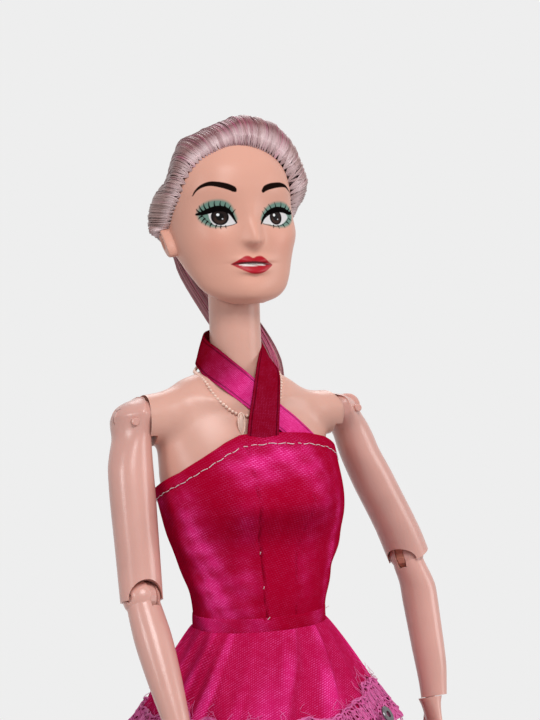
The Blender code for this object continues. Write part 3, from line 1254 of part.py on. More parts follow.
def make_ribbon():
    """The halter ribbon: up from one side of the bodice, round the neck, down to the other."""
    low = WAIST_Z + BODICE_FRONT_RISE
    shape_rows = []
    for k in range(RIBBON_STEPS + 1):
        share = k / RIBBON_STEPS
        turn, height = ribbon_place(share)
        ahead_turn, ahead_height = ribbon_place(min(share + 0.01, 1))
        back_turn, back_height = ribbon_place(max(share - 0.01, 0))
        z = low + NAPE_RISE * height
        middle = body_point(z, FRONT_ANGLE + turn, bridged=True)
        ahead = body_point(low + NAPE_RISE * ahead_height, FRONT_ANGLE + ahead_turn, bridged=True)
        behind = body_point(low + NAPE_RISE * back_height, FRONT_ANGLE + back_turn, bridged=True)
        along = (ahead - behind).normalized()
        out = Vector((math.cos(FRONT_ANGLE + turn), math.sin(FRONT_ANGLE + turn), 0.25)).normalized()
        across = along.cross(out).normalized()
        lift = GAP + (CLOTH + DRESS_GAP) * min(1, 12 * abs(share - 0.5) / 5)
        over = bell(share - 0.16, 0.09) * (RIBBON_THICKNESS + GAP * 2)
        row = []
        for v in (-1, 0, 1):
            near = middle + across * (RIBBON_WIDTH / 2 * v)
            centre = Vector((0, curve_value(TORSO_ROWS, near.z, 4), near.z))
            off = near - centre
            half_width = curve_value(TORSO_ROWS, near.z, 1)
            depth = curve_value(TORSO_ROWS, near.z, 2 if off.y < 0 else 3)
            on_skin = body_point(near.z, math.atan2(off.y / depth, off.x / half_width), bridged=True)
            row.append(on_skin + out * (lift + over))
        shape_rows.append((row, out))
    shape = bmesh.new()
    inner = [[shape.verts.new(p) for p in row] for row, _ in shape_rows]
    outer = [[shape.verts.new(p + out * RIBBON_THICKNESS) for p in row] for row, out in shape_rows]
    width = len(inner[0])
    for k in range(len(inner) - 1):
        for j in range(width - 1):
            shape.faces.new((inner[k][j], inner[k][j + 1], inner[k + 1][j + 1], inner[k + 1][j]))
            shape.faces.new((outer[k][j], outer[k + 1][j], outer[k + 1][j + 1], outer[k][j + 1]))
        shape.faces.new((inner[k][0], inner[k + 1][0], outer[k + 1][0], outer[k][0]))
        shape.faces.new((inner[k][-1], outer[k][-1], outer[k + 1][-1], inner[k + 1][-1]))
    for k in (0, -1):
        for j in range(width - 1):
            shape.faces.new((inner[k][j], inner[k][j + 1], outer[k][j + 1], outer[k][j]))
    return new_object("halter_ribbon", shape, SATIN)


def make_back_tab():
    """The hook tape that closes the dress behind: a strip down the bodice's back."""
    low = BODICE_LOW_Z
    high = WAIST_Z + BODICE_SIDE_RISE
    back = math.pi / 2
    rows = []
    for k in range(7):
        z = low + (high - low) * k / 6
        ring = []
        for grow, flip in ((DRESS_GAP + CLOTH + GAP, 1), (DRESS_GAP + CLOTH + GAP + TAB_THICKNESS, -1)):
            for v in (-1, 0, 1):
                half_width = curve_value(TORSO_ROWS, z, 1)
                turn = back + flip * v * (TAB_WIDTH / 2) / half_width
                ring.append(body_point(z, turn, grow, bridged=True))
        rows.append(ring)
    return new_object("back_closure", loft(rows), HOOK_TAPE)


def joint_at(name, parent, position, axis):
    """An empty on a joint's axis: its own Z is the axis, and its children turn with it."""
    joint = bpy.data.objects.new(name, None)
    bpy.context.scene.collection.objects.link(joint)
    joint.empty_display_size = NECK_RADIUS
    turn = Z_AXIS.rotation_difference(axis.normalized()).to_matrix().to_4x4()
    joint.matrix_world = Matrix.Translation(position) @ turn
    if parent:
        joint.parent = parent
        joint.matrix_parent_inverse = parent_world(parent).inverted()
    return joint


def parent_world(item):
    bpy.context.view_layer.update()
    return item.matrix_world.copy()


def attach(items, joint):
    """Give pieces their origin on a joint and parent them to it."""
    world = parent_world(joint)
    for item in items:
        origin = world.translation
        item.data.transform(Matrix.Translation(-origin))
        item.location = origin
        item.parent = joint
        item.matrix_parent_inverse = world.inverted()


def assemble_arm(side, root):
    tag = "left" if side > 0 else "right"
    arm = make_arm(side)
    shoulder, elbow, wrist, upper, fore, hinge = arm_pose(side)
    swing = joint_at(f"shoulder_swing_{tag}", root, shoulder, -X_AXIS)
    attach([arm["peg"]], swing)
    lift = joint_at(f"shoulder_lift_{tag}", swing, shoulder, -Y_AXIS * side)
    attach(arm["upper"], lift)
    swivel = joint_at(f"elbow_swivel_{tag}", lift, elbow, -upper * side)
    attach([arm["link"]], swivel)
    bend = joint_at(f"elbow_bend_{tag}", swivel, elbow, hinge)
    attach(arm["fore"], bend)
    turn = joint_at(f"wrist_turn_{tag}", bend, wrist, fore)
    attach([arm["hand"]], turn)


def assemble_leg(side, root):
    tag = "left" if side > 0 else "right"
    leg = make_leg(side)
    hip = hip_centre(side)
    knee = Vector((hip.x, 0, KNEE_Z))
    swing = joint_at(f"hip_swing_{tag}", root, hip, -X_AXIS)
    attach([leg["disc"]], swing)
    spread = joint_at(f"hip_spread_{tag}", swing, hip, -Y_AXIS * side)
    attach(leg["thigh"], spread)
    twist = joint_at(f"knee_swivel_{tag}", spread, knee, Z_AXIS * side)
    attach(leg["link"], twist)
    bend = joint_at(f"knee_bend_{tag}", twist, knee, X_AXIS)
    attach(leg["shin"] + [leg["shoe"]], bend)


def centre_on_floor(root):
    """Move the doll so that the middle of its box, at the floor, is the origin."""
    bpy.context.view_layer.update()
    corners = []
    for item in bpy.context.scene.objects:
        if item.type == "MESH":
            corners += [item.matrix_world @ vertex.co for vertex in item.data.vertices]
    for axis in (0, 1):
        low = min(corner[axis] for corner in corners)
        high = max(corner[axis] for corner in corners)
        root.location[axis] = -(low + high) / 2


def build():
    clear_scene()
    root = joint_at("doll", None, Vector((0, 0, 0)), Z_AXIS)
    attach(make_torso(), root)
    turn = joint_at("neck_turn", root, NECK_PIVOT, Z_AXIS)
    attach([make_neck_knob()], turn)
    nod = joint_at("head_nod", turn, NECK_PIVOT, X_AXIS)
    attach([make_head(), *make_hair()], nod)
    for side in (-1, 1):
        assemble_arm(side, root)
        assemble_leg(side, root)
    dress = [make_bodice(), make_waistband(), make_skirt_tier(), make_ruffle(), make_lace(),
             make_sequin(), make_ribbon(), make_back_tab()]
    attach(dress, root)
    centre_on_floor(root)


build()
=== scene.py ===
import json
import math

import bmesh
import bpy
import numpy as np
from mathutils import Matrix, Vector


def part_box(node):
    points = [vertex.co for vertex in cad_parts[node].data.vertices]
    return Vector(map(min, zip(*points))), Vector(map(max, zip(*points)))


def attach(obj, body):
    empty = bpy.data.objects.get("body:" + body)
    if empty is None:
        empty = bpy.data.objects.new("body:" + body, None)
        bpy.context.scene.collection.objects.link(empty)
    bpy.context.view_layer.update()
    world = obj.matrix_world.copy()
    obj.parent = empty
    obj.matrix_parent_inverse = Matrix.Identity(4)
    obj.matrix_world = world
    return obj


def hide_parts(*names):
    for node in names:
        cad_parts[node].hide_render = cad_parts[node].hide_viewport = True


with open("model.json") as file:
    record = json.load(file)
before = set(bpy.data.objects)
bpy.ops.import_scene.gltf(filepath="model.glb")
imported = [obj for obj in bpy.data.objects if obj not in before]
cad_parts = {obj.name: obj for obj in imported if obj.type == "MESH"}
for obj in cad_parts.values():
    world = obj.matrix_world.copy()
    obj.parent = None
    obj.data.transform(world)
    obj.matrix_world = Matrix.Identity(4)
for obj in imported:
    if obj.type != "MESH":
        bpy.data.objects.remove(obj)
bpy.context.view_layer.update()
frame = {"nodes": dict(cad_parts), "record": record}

MM = 0.001
NECK_Y = 6.5
NECK_Z = 257.5
SHOULDER = np.array((27.3, 5.5, 229))
HIP = np.array((11.7, 0, 152))
CLEAR = 0.3
ARM_CLEAR = 0.05
RIBBON_WIDE = 6.4
KNOB_LOW, KNOB_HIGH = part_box("neck_knob")
SHIFT = np.array([(KNOB_LOW[0] + KNOB_HIGH[0]) / 2, (KNOB_LOW[1] + KNOB_HIGH[1]) / 2 - NECK_Y * MM, 0])
CHANCE = np.random.default_rng(7)
FRONT = -math.pi / 2
X_AXIS, Y_AXIS, Z_AXIS = np.eye(3)


# Materials

def new_material(name, colour, roughness, metallic=0.0):
    made = bpy.data.materials.new(name)
    made.use_nodes = True
    shader = made.node_tree.nodes["Principled BSDF"]
    shader.inputs["Base Color"].default_value = (*colour, 1)
    shader.inputs["Roughness"].default_value = roughness
    shader.inputs["Metallic"].default_value = metallic
    return made, made.node_tree, shader


def feed(tree, value, socket):
    """Sets a socket to a number or a colour, or links another socket to it."""
    if isinstance(value, bpy.types.NodeSocket):
        tree.links.new(value, socket)
    elif socket.type == "RGBA":
        socket.default_value = (*value, 1)
    else:
        socket.default_value = value


def add_node(tree, kind, inputs, **settings):
    """A shader node with its settings, and its inputs given by name or number."""
    made = tree.nodes.new("ShaderNode" + kind)
    for key, value in settings.items():
        setattr(made, key, value)
    for key, value in inputs.items():
        feed(tree, value, made.inputs[key])
    return made


def arithmetic(tree, operation, *values):
    return add_node(tree, "Math", dict(enumerate(values)), operation=operation).outputs[0]


def attribute(tree, name, output="Fac"):
    return add_node(tree, "Attribute", {}, attribute_name=name).outputs[output]


def noise(tree, scale, detail=3.0):
    where = add_node(tree, "TexCoord", {}).outputs["Object"]
    return add_node(tree, "TexNoise", {"Scale": scale, "Detail": detail, "Vector": where}).outputs["Fac"]


def ramp(tree, source, stops):
    """Colours at places from 0 to 1 of a socket's value."""
    made = add_node(tree, "ValToRGB", {"Fac": source})
    elements = made.color_ramp.elements
    while len(elements) < len(stops):
        elements.new(0.5)
    for element, (place, colour) in zip(elements, stops):
        element.position = place
        element.color = (*colour, 1)
    return made.outputs["Color"]


def bump(tree, shader, height, strength, distance):
    made = add_node(tree, "Bump", {"Strength": strength, "Distance": distance, "Height": height})
    feed(tree, made.outputs["Normal"], shader.inputs["Normal"])


def soften(shader, weight, scale):
    """Light that enters the vinyl and comes out beside."""
    shader.inputs["Subsurface Weight"].default_value = weight
    shader.inputs["Subsurface Radius"].default_value = (0.9, 0.4, 0.25)
    shader.inputs["Subsurface Scale"].default_value = scale


def mottled(tree, shader, source, colour, spread):
    """A base colour that is a little darker and lighter from place to place."""
    darker = tuple(c * (1 - spread) for c in colour)
    lighter = tuple(min(c * (1 + spread), 1) for c in colour)
    feed(tree, ramp(tree, source, ((0.3, darker), (0.7, lighter))), shader.inputs["Base Color"])


def skin_material(name, colour, roughness, specular=0.35):
    """Moulded vinyl: an even colour with faint mottling and a fine mould texture."""
    made, tree, shader = new_material(name, colour, roughness)
    mottled(tree, shader, noise(tree, 90, 2), colour, 0.05)
    soften(shader, 0.12, 0.0012)
    shader.inputs["Specular IOR Level"].default_value = specular
    bump(tree, shader, noise(tree, 2600), 0.12, 0.0002)
    return made


def paint_material():
    """The face's vinyl, under the colours and the gloss painted on its vertices."""
    made, tree, shader = new_material("face_vinyl", (0.66, 0.34, 0.26), 0.42)
    gloss = attribute(tree, "gloss")
    rough = add_node(tree, "MapRange", {"To Min": 0.44, "To Max": 0.14, "Value": gloss})
    feed(tree, attribute(tree, "paint", "Color"), shader.inputs["Base Color"])
    feed(tree, rough.outputs["Result"], shader.inputs["Roughness"])
    feed(tree, arithmetic(tree, "MULTIPLY", gloss, 0.55), shader.inputs["Specular IOR Level"])
    soften(shader, 0.03, 0.0010)
    bump(tree, shader, noise(tree, 2400), 0.10, 0.0002)
    return made


def hair_material():
    """Shiny fibre: the colour comes from each strand's own tint."""
    made, tree, shader = new_material("hair_fibre", (0.42, 0.24, 0.25), 0.30)
    feed(tree, attribute(tree, "tint", "Color"), shader.inputs["Base Color"])
    shader.inputs["Specular IOR Level"].default_value = 0.15
    return made


def mixed(tree, factor, first, second, blend="MIX"):
    """A colour between two, each a colour or a socket."""
    sockets = {0: factor, 6: first, 7: second}
    return add_node(tree, "Mix", sockets, data_type="RGBA", blend_type=blend).outputs[2]


def ribs(tree, across):
    """Darker lines inside both edges of a ribbon, over its width from 0 to 1."""
    light, edge, line = (1, 1, 1), (0.8,) * 3, (0.35,) * 3
    return ramp(tree, across, ((0.0, edge), (0.05, light), (0.09, line), (0.13, light),
                               (0.87, light), (0.91, line), (0.95, light), (1.0, edge)))


def satin_material(name, deep, pitch, turn_by, ribbed=False):
    """Satin: short bright floats of thread over a deep ground, lightened towards pink by painted highlights
    that a vertex attribute places.
    """
    made, tree, shader = new_material(name, deep, 0.42)
    cloth, painted_highlight = attribute(tree, "cloth", "Vector"), attribute(tree, "painted_highlight")
    turn = add_node(tree, "Mapping", {"Rotation": (0, 0, turn_by), "Vector": cloth})
    floats = add_node(tree, "TexBrick", {
        "Color1": (1, 1, 1), "Color2": (0.45, 0.45, 0.45), "Mortar": (0, 0, 0), "Scale": 1.0,
        "Brick Width": pitch, "Row Height": pitch * 0.55, "Mortar Size": pitch * 0.17, "Mortar Smooth": 0.35,
        "Vector": turn.outputs["Vector"]})
    uneven = ramp(tree, noise(tree, 420, 4), ((0.38, (0.45, 0.45, 0.45)), (0.62, (1, 1, 1))))
    # Painted highlights: the attribute lifts the floats and the ground towards bright pink, standing in for
    # lamp light.
    strength = arithmetic(tree, "MULTIPLY_ADD", painted_highlight, 0.85, 0.11)
    strength = arithmetic(tree, "MULTIPLY", strength, uneven)
    strength = arithmetic(tree, "MULTIPLY", strength, floats.outputs["Color"])
    ground = mixed(tree, arithmetic(tree, "MULTIPLY", painted_highlight, 0.62), deep, (0.82, 0.016, 0.22))
    colour = mixed(tree, strength, ground, (1.0, 0.13, 0.50))
    if ribbed:
        split = add_node(tree, "SeparateXYZ", {0: cloth})
        across = arithmetic(tree, "MULTIPLY", split.outputs["X"], 1 / RIBBON_WIDE)
        colour = mixed(tree, 1.0, colour, ribs(tree, across), "MULTIPLY")
    feed(tree, colour, shader.inputs["Base Color"])
    shader.inputs["Specular IOR Level"].default_value = 0.0
    height = arithmetic(tree, "MULTIPLY_ADD", floats.outputs["Fac"], -0.5, noise(tree, 260))
    bump(tree, shader, height, 0.35, 0.00012)
    return made


def speckled(name, colour, roughness, scale, spread=0.12, metallic=0.0, depth=0.00005):
    """A plain material with a fine mottling of its colour and its surface."""
    made, tree, shader = new_material(name, colour, roughness, metallic)
    grain = noise(tree, scale, 4)
    mottled(tree, shader, grain, colour, spread)
    bump(tree, shader, grain, 0.3, depth)
    return made


def lace_material():
    """Net with round meshes, closed along a ribbed foot and a narrow head."""
    made, tree, shader = new_material("pink_lace", (0.62, 0.07, 0.28), 0.6)
    cloth = attribute(tree, "cloth", "Vector")
    net = add_node(tree, "TexVoronoi", {"Scale": 1.05, "Randomness": 0.55, "Vector": cloth},
                   feature="DISTANCE_TO_EDGE")
    height = add_node(tree, "SeparateXYZ", {0: cloth}).outputs["Y"]
    foot = add_node(tree, "MapRange", {"From Min": 2.0, "From Max": 2.6, "Value": height})
    hole = arithmetic(tree, "GREATER_THAN", net.outputs["Distance"], 0.17)
    opened = arithmetic(tree, "MULTIPLY", hole, foot.outputs["Result"])
    feed(tree, arithmetic(tree, "SUBTRACT", 1.0, opened), shader.inputs["Alpha"])
    grain = noise(tree, 900, 4)
    tint = ramp(tree, grain, ((0.3, (0.48, 0.035, 0.19)), (0.7, (0.66, 0.10, 0.33))))
    feed(tree, tint, shader.inputs["Base Color"])
    bump(tree, shader, grain, 0.4, 0.0001)
    return made


SKIN = skin_material("body_skin", (0.68, 0.375, 0.30), 0.30, 0.25)
ARM_SKIN = skin_material("arm_skin", (0.66, 0.350, 0.295), 0.24, 0.42)
LINK = skin_material("link_plastic", (0.62, 0.28, 0.19), 0.32)
FACE = paint_material()
HAIR = hair_material()
SATIN = satin_material("red_satin", (0.37, 0.0, 0.018), 0.70, 0.35)
RIBBON = satin_material("ribbon_satin", (0.21, 0.0, 0.004), 0.48, 0.9, True)
LACE = lace_material()
PINK = speckled("pink_thread", (0.66, 0.13, 0.36), 0.55, 2500)
SHOE = speckled("shoe_plastic", (0.44, 0.006, 0.06), 0.22, 500, 0.05)
STEEL = speckled("pin_steel", (0.42, 0.41, 0.42), 0.35, 1500, 0.08, 1.0)
RING_METAL = speckled("dark_metal", (0.16, 0.15, 0.16), 0.28, 1500, 0.2, 1.0)
TAPE = speckled("hook_tape", (0.40, 0.005, 0.06), 0.85, 3000, 0.25, 0.0, 0.0003)
ELASTIC = speckled("elastic", (0.42, 0.14, 0.28), 0.7, 3000, 0.15, 0.0, 0.0002)
THREAD = speckled("white_thread", (0.78, 0.66, 0.70), 0.6, 3000, 0.10)
BEAD = speckled("pale_bead", (0.82, 0.56, 0.46), 0.16, 900, 0.05)


# Shapes

def in_scene(name, data):
    made = bpy.data.objects.new(name, data)
    bpy.context.scene.collection.objects.link(made)
    return made


def object_from(name, verts, faces, material, body=None, smooth=True, attributes=()):
    """A mesh in millimetres of the doll's own frame, as an object that rides on a body."""
    mesh = bpy.data.meshes.new(name)
    points = np.asarray(verts, dtype=float) * MM + SHIFT
    mesh.from_pydata(points.tolist(), [], faces if isinstance(faces, list) else faces.tolist())
    for key, kind, values in attributes:
        layer = mesh.attributes.new(key, kind, "POINT")
        field = {"FLOAT_COLOR": "color", "FLOAT_VECTOR": "vector"}.get(kind, "value")
        layer.data.foreach_set(field, np.asarray(values, dtype=np.float32).ravel())
    mesh.validate()
    shape = bmesh.new()
    shape.from_mesh(mesh)
    bmesh.ops.recalc_face_normals(shape, faces=shape.faces)
    shape.to_mesh(mesh)
    shape.free()
    if smooth:
        mesh.shade_smooth()
        mesh.set_sharp_from_angle(angle=math.radians(42))
    made = in_scene(name, mesh)
    if material:
        mesh.materials.append(material)
    if body:
        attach(made, body)
    return made


def grid_faces(rows, columns, wrap=True, start=0):
    """Quads of a grid whose rows follow each other; wrap joins each row's ends."""
    across = np.arange(columns if wrap else columns - 1)
    after = (across + 1) % columns
    faces = []
    for k in range(rows - 1):
        low = start + k * columns
        faces.append(np.stack([low + across, low + after, low + columns + after, low + columns + across], 1))
    return np.concatenate(faces)


def loft(rings):
    """Vertices and faces of a solid through rings, capped by a fan at both ends."""
    rings = np.asarray(rings)
    rows, columns = rings.shape[:2]
    verts = rings.reshape(-1, 3)
    faces = grid_faces(rows, columns).tolist()
    faces.append(list(range(columns))[::-1])
    faces.append(list(range((rows - 1) * columns, rows * columns)))
    return verts, faces


def shell(outer, inner):
    """Vertices and faces of a thin wall between two stacks of rings."""
    loops = np.concatenate([np.asarray(outer), np.asarray(inner)[::-1]])
    rows, columns = loops.shape[:2]
    loops = np.concatenate([loops, loops[:1]])
    faces = grid_faces(rows + 1, columns) % (rows * columns)
    return loops[:-1].reshape(-1, 3), faces


def unit(vector):
    vector = np.asarray(vector, dtype=float)
    return vector / np.linalg.norm(vector)


def frame_of(axis, side):
    """Two directions across an axis, the first nearest to side, and the axis itself."""
    along = unit(axis)
    across = unit(np.asarray(side) - along * np.dot(side, along))
    return across, np.cross(along, across), along


def full_turn(sides):
    """Angles evenly spread over one turn."""
    return np.arange(sides) * 2 * math.pi / sides


def oval(middle, wide, deep, across, other, sides):
    turns = full_turn(sides)
    return middle + np.outer(np.cos(turns) * wide, across) + np.outer(np.sin(turns) * deep, other)


def turned_rings(profile, middle, axis, sides):
    """Rings round an axis from (distance, radius) rows."""
    side = X_AXIS if abs(unit(axis)[0]) < 0.8 else Y_AXIS
    across, other, along = frame_of(axis, side)
    turns = full_turn(sides)
    circle = np.cos(turns)[:, None] * across + np.sin(turns)[:, None] * other
    return [np.asarray(middle) + along * distance + circle * radius for distance, radius in profile]


def solid(name, rings, material=None):
    verts, faces = loft(rings)
    return object_from(name, verts, faces, material)


def turned(name, profile, middle, axis, material=None, sides=48):
    return solid(name, turned_rings(profile, middle, axis, sides), material)


def ball(name, middle, radius, material=None, sides=64):
    turns = math.pi * (np.arange(24) + 0.3) / 23.6
    profile = [(-radius * math.cos(turn), radius * math.sin(turn)) for turn in turns]
    return turned(name, profile, middle, Z_AXIS, material, sides)


def limb_rings(start, axis, side, stations, sides=64, rows=48):
    """Smooth rings of a limb through stations (distance, wide, deep, shift)."""
    across, other, along = frame_of(axis, side)
    table = np.asarray(stations, dtype=float)
    places = np.linspace(table[0, 0], table[-1, 0], rows)
    columns = [smooth(table, places, k) for k in (1, 2, 3)]
    return [oval(start + along * place + other * shift, wide, deep, across, other, sides)
            for place, wide, deep, shift in zip(places, *columns)]


def smooth(table, at, column):
    """A smooth curve through one column of a table, by its first column."""
    xs, ys = table[:, 0], table[:, column]
    at = np.clip(at, xs[0], xs[-1])
    k = np.clip(np.searchsorted(xs, at, side="left") - 1, 0, len(xs) - 2)
    slopes = np.empty(len(xs))
    slopes[1:-1] = (ys[2:] - ys[:-2]) / (xs[2:] - xs[:-2])
    slopes[0] = (ys[1] - ys[0]) / (xs[1] - xs[0])
    slopes[-1] = (ys[-1] - ys[-2]) / (xs[-1] - xs[-2])
    span = xs[k + 1] - xs[k]
    t = (at - xs[k]) / span
    return (ys[k] * (2 * t**3 - 3 * t**2 + 1) + slopes[k] * span * (t**3 - 2 * t**2 + t)
            + ys[k + 1] * (3 * t**2 - 2 * t**3) + slopes[k + 1] * span * (t**3 - t**2))


def smooth_path(points, at, by=None):
    """Points along a smooth line through the given ones, by their number or by other values."""
    table = np.column_stack([np.arange(len(points)) if by is None else by, points])
    return np.column_stack([smooth(table, at, k) for k in range(1, table.shape[1])])


def distances(line):
    """How far each point lies along a line."""
    return np.concatenate([[0], np.cumsum(np.linalg.norm(np.diff(line, axis=0), axis=1))])


def stand_in(made, body_name, *nodes):
    """The piece rides on a body and stands for CAD nodes."""
    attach(made, body_name)
    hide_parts(*nodes)


def baked(made):
    """Swaps an object's mesh for the one its modifiers give."""
    bpy.context.view_layer.update()
    result = bpy.data.meshes.new_from_object(made.evaluated_get(bpy.context.evaluated_depsgraph_get()))
    made.modifiers.clear()
    made.data = result
    return result


def combine(target, tool, operation):
    step = target.modifiers.new(operation, "BOOLEAN")
    step.operation = operation
    step.solver = "EXACT"
    step.object = tool
    result = baked(target)
    bpy.data.objects.remove(tool, do_unlink=True)
    result.shade_smooth()
    result.set_sharp_from_angle(angle=math.radians(36))


def cut(target, tool):
    combine(target, tool, "DIFFERENCE")


def join(target, tool):
    combine(target, tool, "UNION")


def bore(target, radius, low, high, middle, axis, sides=48):
    """Cuts a round hole, from low to high along an axis."""
    cut(target, turned("tool", ((low, radius), (high, radius)), middle, axis, sides=sides))


def smoothstep(value):
    value = np.clip(value, 0, 1)
    return value * value * (3 - 2 * value)


def bell(value, spread):
    return np.exp(-((value / spread) ** 2))


def power_of(value, power):
    return np.sign(value) * np.abs(value) ** power


# The body

TORSO = np.array((
    (142.5, 6.1, 7.0, 7.0, 0), (146.3, 13.4, 10.4, 11.5, 0), (152.0, 18.3, 12.3, 14.8, 0),
    (159.8, 20.3, 12.9, 15.7, 0), (167.6, 18.7, 12.6, 13.7, 0), (175.4, 15.2, 11.45, 11.25, -0.6),
    (182.0, 13.8, 10.6, 10.2, -1.2), (190.0, 14.5, 11.25, 10.6, -1.2), (199.9, 17.55, 12.5, 10.75, 0.8),
    (209.3, 19.8, 13.5, 10.75, 2.2), (216.8, 20.4, 12.5, 10.5, 3.6), (223.8, 20.2, 10.5, 9.75, 4.85),
    (229.0, 19.8, 8.75, 8.25, 5.5), (233.0, 19.4, 7.25, 7.0, 5.5), (235.6, 15.5, 6.5, 6.5, 6.5),
    (238.1, 9.5, 6.15, 6.15, 6.5), (241.3, 6.4, 5.8, 5.8, 6.5), (244.7, 5.8, 5.8, 5.8, 6.5),
    (257.5, 5.8, 5.8, 5.8, 6.5),
))
HEIGHTS = np.linspace(142.5, 257.5, 1500)
WIDTHS, FRONTS, BACKS, MIDDLES = (smooth(TORSO, HEIGHTS, k) for k in (1, 2, 3, 4))
BUST_Z = 211.0


def bust(x, z, bridged):
    """How far the bust stands out; bridged, it fills the hollow in the middle as cloth does."""
    across = np.abs(x) - 8.6
    if bridged:
        across = np.where(across < 0, across * 0.35, across)
    spread = np.where(z < BUST_Z, 6.46, 9.18)
    return 5.8 * bell(across, 6.8) * bell(z - BUST_Z, spread)


def body(z, turn, grow=0.0, bridged=False, detail=False):
    """Points on the body's skin at heights and turns, moved out by grow."""
    z, turn = np.broadcast_arrays(np.asarray(z, dtype=float), np.asarray(turn, dtype=float))
    sine, cosine = np.sin(turn), np.cos(turn)
    wide = np.interp(z, HEIGHTS, WIDTHS)
    deep = np.where(sine < 0, np.interp(z, HEIGHTS, FRONTS), np.interp(z, HEIGHTS, BACKS))
    x = (wide + grow) * power_of(cosine, 0.94)
    rise = np.where(sine < 0, bust(x, z, bridged) * np.minimum(1, 2.2 * np.abs(sine)), 0)
    if detail:
        rise = rise + np.where(sine < -0.15, collar(x, z), 0)
    y = np.interp(z, HEIGHTS, MIDDLES) + (deep + grow) * power_of(sine, 0.94) - rise
    return np.stack([x, y, z], -1)


def collar(x, z):
    """Collarbones and the notch between them."""
    side = np.abs(x)
    ridge = 0.55 * bell(z - (231.2 + side * 0.16), 1.3) * bell(side - 9.5, 6.0)
    notch = -0.5 * bell(x, 2.2) * bell(z - 233.4, 2.2)
    return ridge + notch


def blend_shoulders(made):
    """Remeshes the torso, lowers its left shoulder, fills the right one and smooths both."""
    step = made.modifiers.new("even", "REMESH")
    step.mode = "VOXEL"
    step.voxel_size = 0.5 * MM
    result = baked(made)
    shape = bmesh.new()
    shape.from_mesh(result)
    middle = SHOULDER[2]
    near = []
    for vert in shape.verts:
        x, _, z = (np.array(vert.co) - SHIFT) / MM
        if 10.5 < abs(x) < 20.4 and 217 < z < 241:
            near.append(vert)
        if (abs(x) > 11 or x < -6) and z > middle:
            keep = 1 - (0.29 if x > 0 else 0.09) * smoothstep((abs(x) - 11) / 7)
            full = 1.1 * bell(x + 14, 5.0) * smoothstep((z - middle - 1) / 6)
            vert.co.z = SHIFT[2] + (middle + (z - middle) * keep + full) * MM
    axes = {"use_axis_x": True, "use_axis_y": True, "use_axis_z": True}
    for verts, times in ((near, 26), (shape.verts, 2)):
        for _ in range(times):
            bmesh.ops.smooth_vert(shape, verts=verts, factor=0.5, **axes)
    shape.to_mesh(result)
    shape.free()
    result.materials.clear()
    result.materials.append(SKIN)
    result.shade_smooth()


def block(low, high):
    """A plain box as a cutting tool."""
    (ax, ay, az), (bx, by, bz) = np.minimum(low, high), np.maximum(low, high)
    rings = [[(ax, ay, z), (bx, ay, z), (bx, by, z), (ax, by, z)] for z in (az, bz)]
    return solid("tool", rings)


BOSS = ((10.3, 4.9), (14.5, 6.3), (16.4, 6.5), (19.7, 6.1), (27.3, 5.7))
SHOULDER_HOLLOW = 6.95
SHOULDER_BORE = (1.9, 17.1)
HIP_HOLLOW = 10.1
HIP_SLOT = {"half_width": 10.6, "reach": 40, "low": -60, "high": 25}
NECK_BORE = (2.7, -9.3, 2)


def make_torso():
    """The hard body, hollowed for the shoulders, the hips and the neck's knob."""
    turns = full_turn(128)
    levels = np.concatenate([np.linspace(142.6, 226, 90), np.linspace(226.6, 246, 60), [250, 254, 257.2]])
    made = solid("torso_skin", [body(z, turns, detail=True) for z in levels], SKIN)
    for side in (-1, 1):
        join(made, turned("tool", BOSS, (0, *SHOULDER[1:]), X_AXIS * side, sides=72))
    blend_shoulders(made)
    for side in (-1, 1):
        shoulder = SHOULDER * (side, 1, 1)
        cut(made, ball("tool", shoulder, SHOULDER_HOLLOW))
        peg_bore, depth = SHOULDER_BORE
        bore(made, peg_bore, 0, depth, shoulder, -X_AXIS * side, 24)
        cut(made, block((side * 21.86, -9, 212), (side * 34, 20, 225.6)))
        hip = HIP * (side, 1, 1)
        cut(made, ball("tool", hip, HIP_HOLLOW))
        outline = swept_outline(**HIP_SLOT)
        across, other, _ = frame_of(X_AXIS, -Z_AXIS)
        slot = np.outer(outline[:, 0], across) + np.outer(outline[:, 1], other) + (0, *HIP[1:])
        cut(made, solid("tool", [slot + X_AXIS * (side * level) for level in (1.6, 42)]))
    bore(made, *NECK_BORE, (0, NECK_Y, NECK_Z), Z_AXIS, 32)
    stand_in(made, "torso", "torso_front", "torso_back")


def swept_outline(half_width, reach, low, high, steps=25):
    """The outline that a bar sweeps as it turns from low to high degrees."""
    turns = np.radians(np.linspace(low, high, steps))
    first = half_width * np.array((math.sin(turns[0]), -math.cos(turns[0])))
    last = half_width * np.array((-math.sin(turns[-1]), math.cos(turns[-1])))
    arc = reach * np.stack([np.cos(turns), np.sin(turns)], 1)
    return np.concatenate([[first], [first + arc[0]], arc, [last + arc[-1]], [last]])


# Limbs

def joint(name):
    """A joint's place in the doll's own millimetres, and its axis."""
    found = next(item for item in frame["record"]["behaviour"]["joints"] if item["name"] == name)
    return (np.array(found["pos_m"]) - SHIFT) / MM, unit(found["axis"])


def leaned(rings, top, bottom, side, slope):
    """An upper arm's rings, with its outer side sloped in over the shoulder and its top rounded off."""
    rings = np.array(rings)
    down = (top[2] - rings[..., 2]) / (top[2] - bottom[2])
    rings[..., 0] += 0.45 * smoothstep((down - 0.5) / 0.4) * (side > 0)
    outside = smoothstep(((rings[..., 0] - top[0]) * side + 4.5) / 9)
    rings[..., 0] -= side * outside * smooth(np.array(slope), rings[..., 2] - top[2], 1)
    roof = 3.7 if side > 0 else 6.6
    rise = rings[..., 2] - top[2]
    rings[..., 2] = top[2] + np.where(rise > 0, roof * np.tanh(rise / roof), rise)
    return rings


